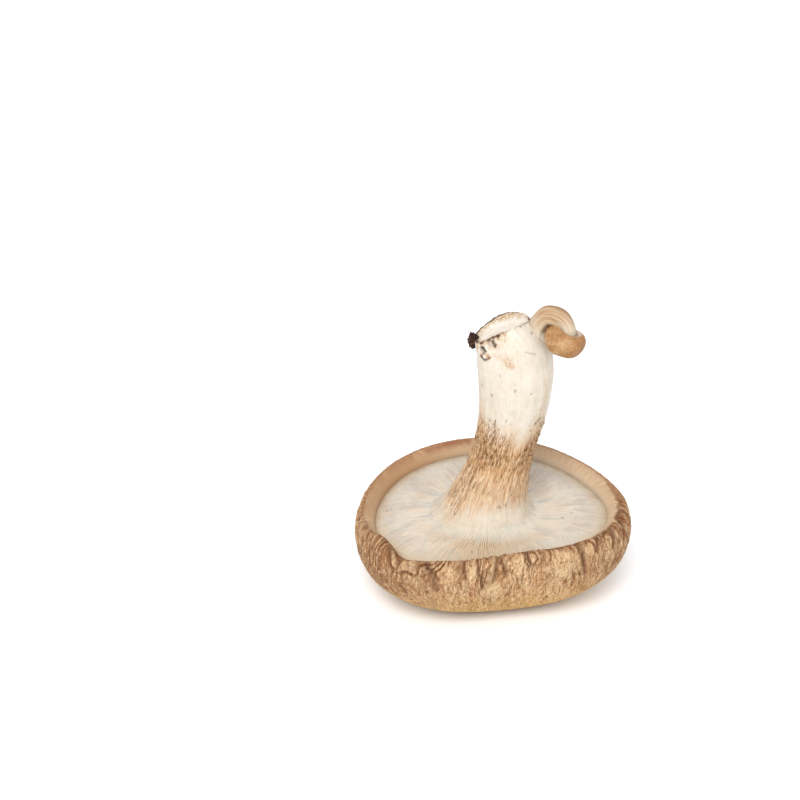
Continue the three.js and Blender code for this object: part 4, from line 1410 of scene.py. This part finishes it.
        # Phase of the thin painted shade lines round the foot, which stand in for the gaps between the blades.
        mark_ridges(mesh, "slit_shade_phase", angle, self.slit_shades_round, 0 * angle)
        mark(mesh, "cut", smoothstep(on_cut, 0.0, 0.05))
        torn = noise_round(angle, height, 7.0, 0.0, 81.0)
        far = 0.1 + 0.9 * np.clip(bump(angle, 110.0, 62.0) + bump(angle, 185.0, 30.0), 0, 1)
        rim = (1 - smoothstep(on_cut, 0.05, 0.12 + 0.07 * torn)) * smoothstep(height, 71.0, 71.4)
        mark(mesh, "rim", np.clip(1.3 * rim * smoothstep(torn, -0.7, -0.1) * far, 0, 1))
        right = bump(angle, 62.0, 45.0)
        lining = smoothstep(on_cut, 0.03, 0.08) * (1 - smoothstep(on_cut, 0.12, 0.32 + 0.25 * torn + 0.3 * right))
        mark(mesh, "lining", np.clip(lining * (0.15 + 0.7 * far + 0.6 * right), 0, 1))
        mark(mesh, "flow", placed(angle, 1.0, height))


@dataclass
class StemFibrils:
    """Small dark fibrils that stand off the stem's scaly zone, and a few stray ones outside it."""

    stem: Stem
    count: int = 950
    tries: int = 9000
    lowest: float = 22.0
    highest: float = 50.0
    seed: int = 7
    finish: FibrilFinish = field(default_factory=FibrilFinish)

    def build(self) -> bpy.types.Object:
        """Scatter slivers over the brown zone, densest where it is darkest."""
        rng = np.random.default_rng(self.seed)
        angles = rng.uniform(0, TAU, self.tries)
        heights = rng.uniform(self.lowest, self.highest, self.tries)
        chance = self.stem.scaly(angles, heights) ** 1.3 + 0.012
        kept = np.nonzero(rng.uniform(0, 1, self.tries) < chance)[0][: self.count]
        bm = bmesh.new()
        bmesh.ops.create_icosphere(bm, subdivisions=1, radius=1.0)
        number = bm.verts.layers.float.new("number")
        sliver = everything(bm)
        for k in range(1, len(kept)):
            numbered(bm, sliver, number, k)
        piece = settled(bm, "stem_fibrils")
        mesh = piece.data
        flat = points_of(mesh)
        which = read(mesh, "number").astype(int)
        angle, height = angles[kept], heights[kept]
        ones = np.ones(len(kept))
        base = self.stem.place(angle, height, ones)
        ahead = unit(self.stem.place(angle, height + 0.1, ones) - base)
        side = unit(self.stem.place(angle + 0.01, height, ones) - base)
        out = np.cross(side, ahead)
        rough = self.stem.roughness(angle, height)
        base += out * (self.stem.relief(angle, height, ones, rough) + 0.02)[:, None]
        length = rng.uniform(0.25, 0.75, len(kept))
        width = rng.uniform(0.05, 0.11, len(kept))
        lean = rng.normal(0, 0.4, len(kept))
        off = rng.uniform(0.0, 0.32, len(kept))
        turned_ahead = ahead + lean[:, None] * side
        along = flat[:, 2] * length[which]
        bend = off[which] * (flat[:, 2] + 1) ** 2 / 4
        points = (
            base[which]
            + turned_ahead[which] * along[:, None]
            + side[which] * (flat[:, 0] * width[which])[:, None]
            + out[which] * (flat[:, 1] * 0.05 + bend)[:, None]
        )
        mark(mesh, "shade", rng.uniform(0, 1, len(kept))[which])
        set_points(mesh, points * MM)
        mesh.materials.append(self.finish.make())
        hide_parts("stem")
        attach(piece, "root")
        return piece


@dataclass
class CutCrust:
    """The dark torn lump at the left end of the cut."""

    middle: tuple[float, float, float] = (-4.45, 0.3, 68.0)
    half_size: tuple[float, float, float] = (1.35, 1.7, 2.2)
    finish: SoilFinish = field(default_factory=SoilFinish)

    def build(self) -> bpy.types.Object:
        """A ball pushed about into a jagged lump."""
        bm = bmesh.new()
        bmesh.ops.create_icosphere(bm, subdivisions=5, radius=1.0)
        piece = settled(bm, "cut_crust")
        mesh = piece.data
        ball = points_of(mesh)
        push = 0.3 * noise_at(ball * 1.5 + 3.0) + 0.34 * np.abs(noise_at(ball * 3.1 + 9.0)) - 0.1
        push += 0.12 * noise_at(ball * 8.0)
        lean = np.array([-0.25, 0.0, 0.0]) * ball[:, 2:] ** 2
        points = ball * (1 + push)[:, None] + lean
        set_points(mesh, (points * np.array(self.half_size) + np.array(self.middle)) * MM)
        mesh.materials.append(self.finish.make())
        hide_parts("stem")
        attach(piece, "root")
        return piece


@dataclass
class Shoot:
    """The curled stem of the tiny side mushroom."""

    path: Sequence[tuple[float, float, float]] = (
        (9.6, 0.0, 66.4),
        (11.3, -0.6, 70.9),
        (11.9, -1.3, 73.9),
        (13.8, -2.6, 76.5),
        (16.6, -4.1, 76.1),
        (17.9, -5.0, 74.0),
        (18.0, -5.6, 71.2),
    )
    hollow: tuple[float, float, float] = (15.0, -3.2, 71.0)
    across: tuple[float, float, float] = (0.5, 1.0, 0.3)
    inner_swell: float = 1.1
    root_radius: float = 3.3
    radius: float = 2.2
    columns: int = 64
    rings: int = 90
    finish: ShootFinish = field(default_factory=ShootFinish)

    def centre_line(self, along: np.ndarray) -> np.ndarray:
        """Points of the smooth line through the path, at shares of its length."""
        knots = np.asarray(self.path, float)
        lengths = np.r_[0.0, np.cumsum(np.linalg.norm(np.diff(knots, axis=0), axis=1))]
        rows = np.column_stack([lengths / lengths[-1], knots])
        return np.stack([curve_through(along, rows, k) for k in (1, 2, 3)], axis=1)

    def build(self) -> bpy.types.Object:
        """Turn a straight rod and bend it along the line."""
        side = [(1.0, k / self.rings) for k in range(self.rings + 1)]
        piece = turned("side_shoot_stem", [(0.0, 0.0), *side, (0.0, 1.0)], self.columns)
        mesh = piece.data
        points = points_of(mesh)
        angle = angle_of(points)
        share = radius_of(points)
        along = points[:, 2]
        middle = self.centre_line(along)
        ahead = unit(self.centre_line(np.clip(along + 0.01, 0, 1)) - self.centre_line(np.clip(along - 0.01, 0, 1)))
        across = unit(np.cross(ahead, np.array(self.across)))
        other = np.cross(ahead, across)
        width = self.root_radius + (self.radius - self.root_radius) * smoothstep(along, 0.0, 0.5)
        width += 0.22 * noise_round(angle, along, 1.6, 3.0, 7.0)
        width += 0.1 * noise_round(angle, along, 4.0, 2.0, 17.0)
        outwards = across * np.cos(angle)[:, None] + other * np.sin(angle)[:, None]
        facing = (outwards * unit(np.array(self.hollow) - middle)).sum(axis=1)
        arched = smoothstep(along, 0.25, 0.4) * (1 - smoothstep(along, 0.75, 0.9))
        width += self.inner_swell * smoothstep(facing, 0.2, 1.0) * arched
        points = middle + (share * width)[:, None] * outwards
        # Painted shadow inside the arch: the side that faces the hollow is marked dark.
        mark(mesh, "inner", smoothstep(facing, 0.35, 0.8) * arched)
        mark(mesh, "outer", smoothstep(-facing, 0.75, 1.0) * (0.4 + 0.6 * arched))
        mark(mesh, "flow", placed(angle, 1.0, 25.0 * along))
        ends = (1 - smoothstep(along, 0.22, 0.55)) + 0.8 * smoothstep(along, 0.7, 0.92)
        mark(mesh, "pale", np.clip(ends, 0, 1))
        set_points(mesh, points * MM)
        mesh.materials.append(self.finish.make())
        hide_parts("stem")
        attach(piece, "root")
        return piece


@dataclass
class PinCap:
    """The cap of the tiny side mushroom, a small bun that hangs crown down on the shoot."""

    radius: float = 5.0
    height: float = 6.6
    middle: tuple[float, float, float] = (17.45, -5.8, 70.3)
    tilt_deg: tuple[float, float, float] = (-3.0, 20.0, 0.0)
    columns: int = 128
    rows: Sequence[Sequence[float]] = (
        (0.00, 0.00, 0.00),
        (0.10, 0.28, 0.00),
        (0.20, 0.55, 0.06),
        (0.30, 0.78, 0.20),
        (0.40, 0.94, 0.40),
        (0.50, 1.00, 0.62),
        (0.60, 0.95, 0.82),
        (0.70, 0.80, 0.95),
        (0.78, 0.62, 1.00),
        (0.85, 0.49, 0.97),
        (0.92, 0.44, 0.80),
        (1.00, 0.00, 0.62),
    )
    finish: PinCapFinish = field(default_factory=PinCapFinish)

    def build(self) -> bpy.types.Object:
        """Turn the bun's profile, make it uneven, and hang it on the shoot."""
        steps = np.linspace(0.0, 1.0, 80)
        radii = self.radius * np.maximum(curve_through(steps, self.rows, 1), 0.0)
        heights = self.height * (curve_through(steps, self.rows, 2) - 0.5)
        radii[0] = radii[-1] = 0.0
        piece = turned("side_shoot_cap", list(zip(radii, heights)), self.columns)
        mesh = piece.data
        points = points_of(mesh)
        angle = angle_of(points)
        run = read(mesh, "run")
        uneven = 1 + 0.05 * np.cos(2 * angle - 0.4) + 0.05 * noise_at(points * 0.3)
        points = points * uneven[:, None]
        turn = np.array(Euler([math.radians(a) for a in self.tilt_deg]).to_matrix())
        points = points @ turn.T + np.array(self.middle)
        right = smoothstep(np.cos(angle - math.radians(35)), -0.2, 0.8)
        mark(mesh, "mouth", smoothstep(run / run.max(), 0.68, 0.75) * (0.15 + 0.85 * right))
        # Darker towards the right of the cap.
        mark(mesh, "darker_to_right", smoothstep(points[:, 0] - self.middle[0], -2.5, 4.5))
        set_points(mesh, points * MM)
        mesh.materials.append(self.finish.make())
        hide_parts("pin_cap")
        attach(piece, "root")
        return piece


@dataclass
class Studio:
    """The floor, the lights and the camera at the photograph's angle."""

    elevation_deg: float = 27.62
    distance: float = 0.5
    lens_mm: float = 85.0
    sensor_mm: float = 36.0
    frame_pixels: float = 800.0
    origin_pixel: tuple[float, float] = (486.0, 572.0)
    floor_size: float = 6.0
    world_strength: float = 0.84
    front_watts: float = 8.0
    right_watts: float = 0.5
    lit_height: float = 0.03

    def build(self) -> None:
        """Set up everything that isn't the object."""
        self.floor()
        self.lights()
        self.camera()

    def floor(self) -> None:
        """A large pale floor at the height of the crown."""
        bm = bmesh.new()
        bmesh.ops.create_grid(bm, x_segments=1, y_segments=1, size=self.floor_size / 2)
        floor = settled(bm, "floor")
        floor.data.materials.append(FloorFinish().make())

    def lights(self) -> None:
        """Soft white light from all round, with a large softbox above and in front."""
        world = bpy.data.worlds.new("studio")
        bpy.context.scene.world = world
        world.use_nodes = True
        background = world.node_tree.nodes["Background"].inputs
        background["Color"].default_value = (1, 1, 1, 1)
        background["Strength"].default_value = self.world_strength * STUDIO_GAIN
        self.softbox("softbox_front", (-0.2, -0.75, 0.85), 0.6, self.front_watts * STUDIO_GAIN)
        self.softbox("softbox_right", (0.9, -0.3, 0.6), 0.5, self.right_watts * STUDIO_GAIN)
        bpy.context.scene.view_settings.view_transform = "Standard"

    def softbox(self, name: str, place: tuple[float, float, float], size: float, watts: float) -> None:
        """A square area light that looks at the object."""
        light = bpy.data.lights.new(name, "AREA")
        light.shape = "SQUARE"
        light.size = size
        light.energy = watts
        holder = bpy.data.objects.new(name, light)
        holder.location = place
        aim = Vector((0, 0, self.lit_height)) - Vector(place)
        holder.rotation_euler = aim.to_track_quat("-Z", "Y").to_euler()
        bpy.context.scene.collection.objects.link(holder)

    def camera(self) -> None:
        """Place the camera so that the resting spot falls on its pixel of the frame."""
        data = bpy.data.cameras.new("camera")
        data.lens = self.lens_mm
        data.sensor_width = self.sensor_mm
        data.clip_start = 0.01
        tilt = math.radians(self.elevation_deg)
        forward = Vector((0, math.cos(tilt), -math.sin(tilt)))
        up = Vector((0, math.sin(tilt), math.cos(tilt)))
        per_pixel = self.distance * self.sensor_mm / (self.lens_mm * self.frame_pixels)
        right_by = (self.origin_pixel[0] - self.frame_pixels / 2) * per_pixel
        up_by = (self.frame_pixels / 2 - self.origin_pixel[1]) * per_pixel
        camera = bpy.data.objects.new("camera", data)
        camera.location = -(Vector((right_by, 0, 0)) + up * up_by + forward * self.distance)
        camera.rotation_euler = Euler((math.pi / 2 - tilt, 0, 0))
        bpy.context.scene.collection.objects.link(camera)
        bpy.context.scene.camera = camera


def main() -> None:
    """Build the studio and the mushroom, piece by piece."""
    logging.basicConfig(level=logging.INFO, format="%(message)s")
    Studio().build()
    form = CapForm()
    gills = Gills(form)
    stem = Stem()
    blades = gills.build()
    pieces = [Cap(form).build(), blades, gills.web(blades.data.materials[0]), stem.build()]
    pieces += [StemFibrils(stem).build(), CutCrust().build(), Shoot().build(), PinCap().build()]
    for piece in pieces:
        log.info("%s: %d vertices, %d faces", piece.name, len(piece.data.vertices), len(piece.data.polygons))
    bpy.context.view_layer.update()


if __name__ == "__main__":
    main()
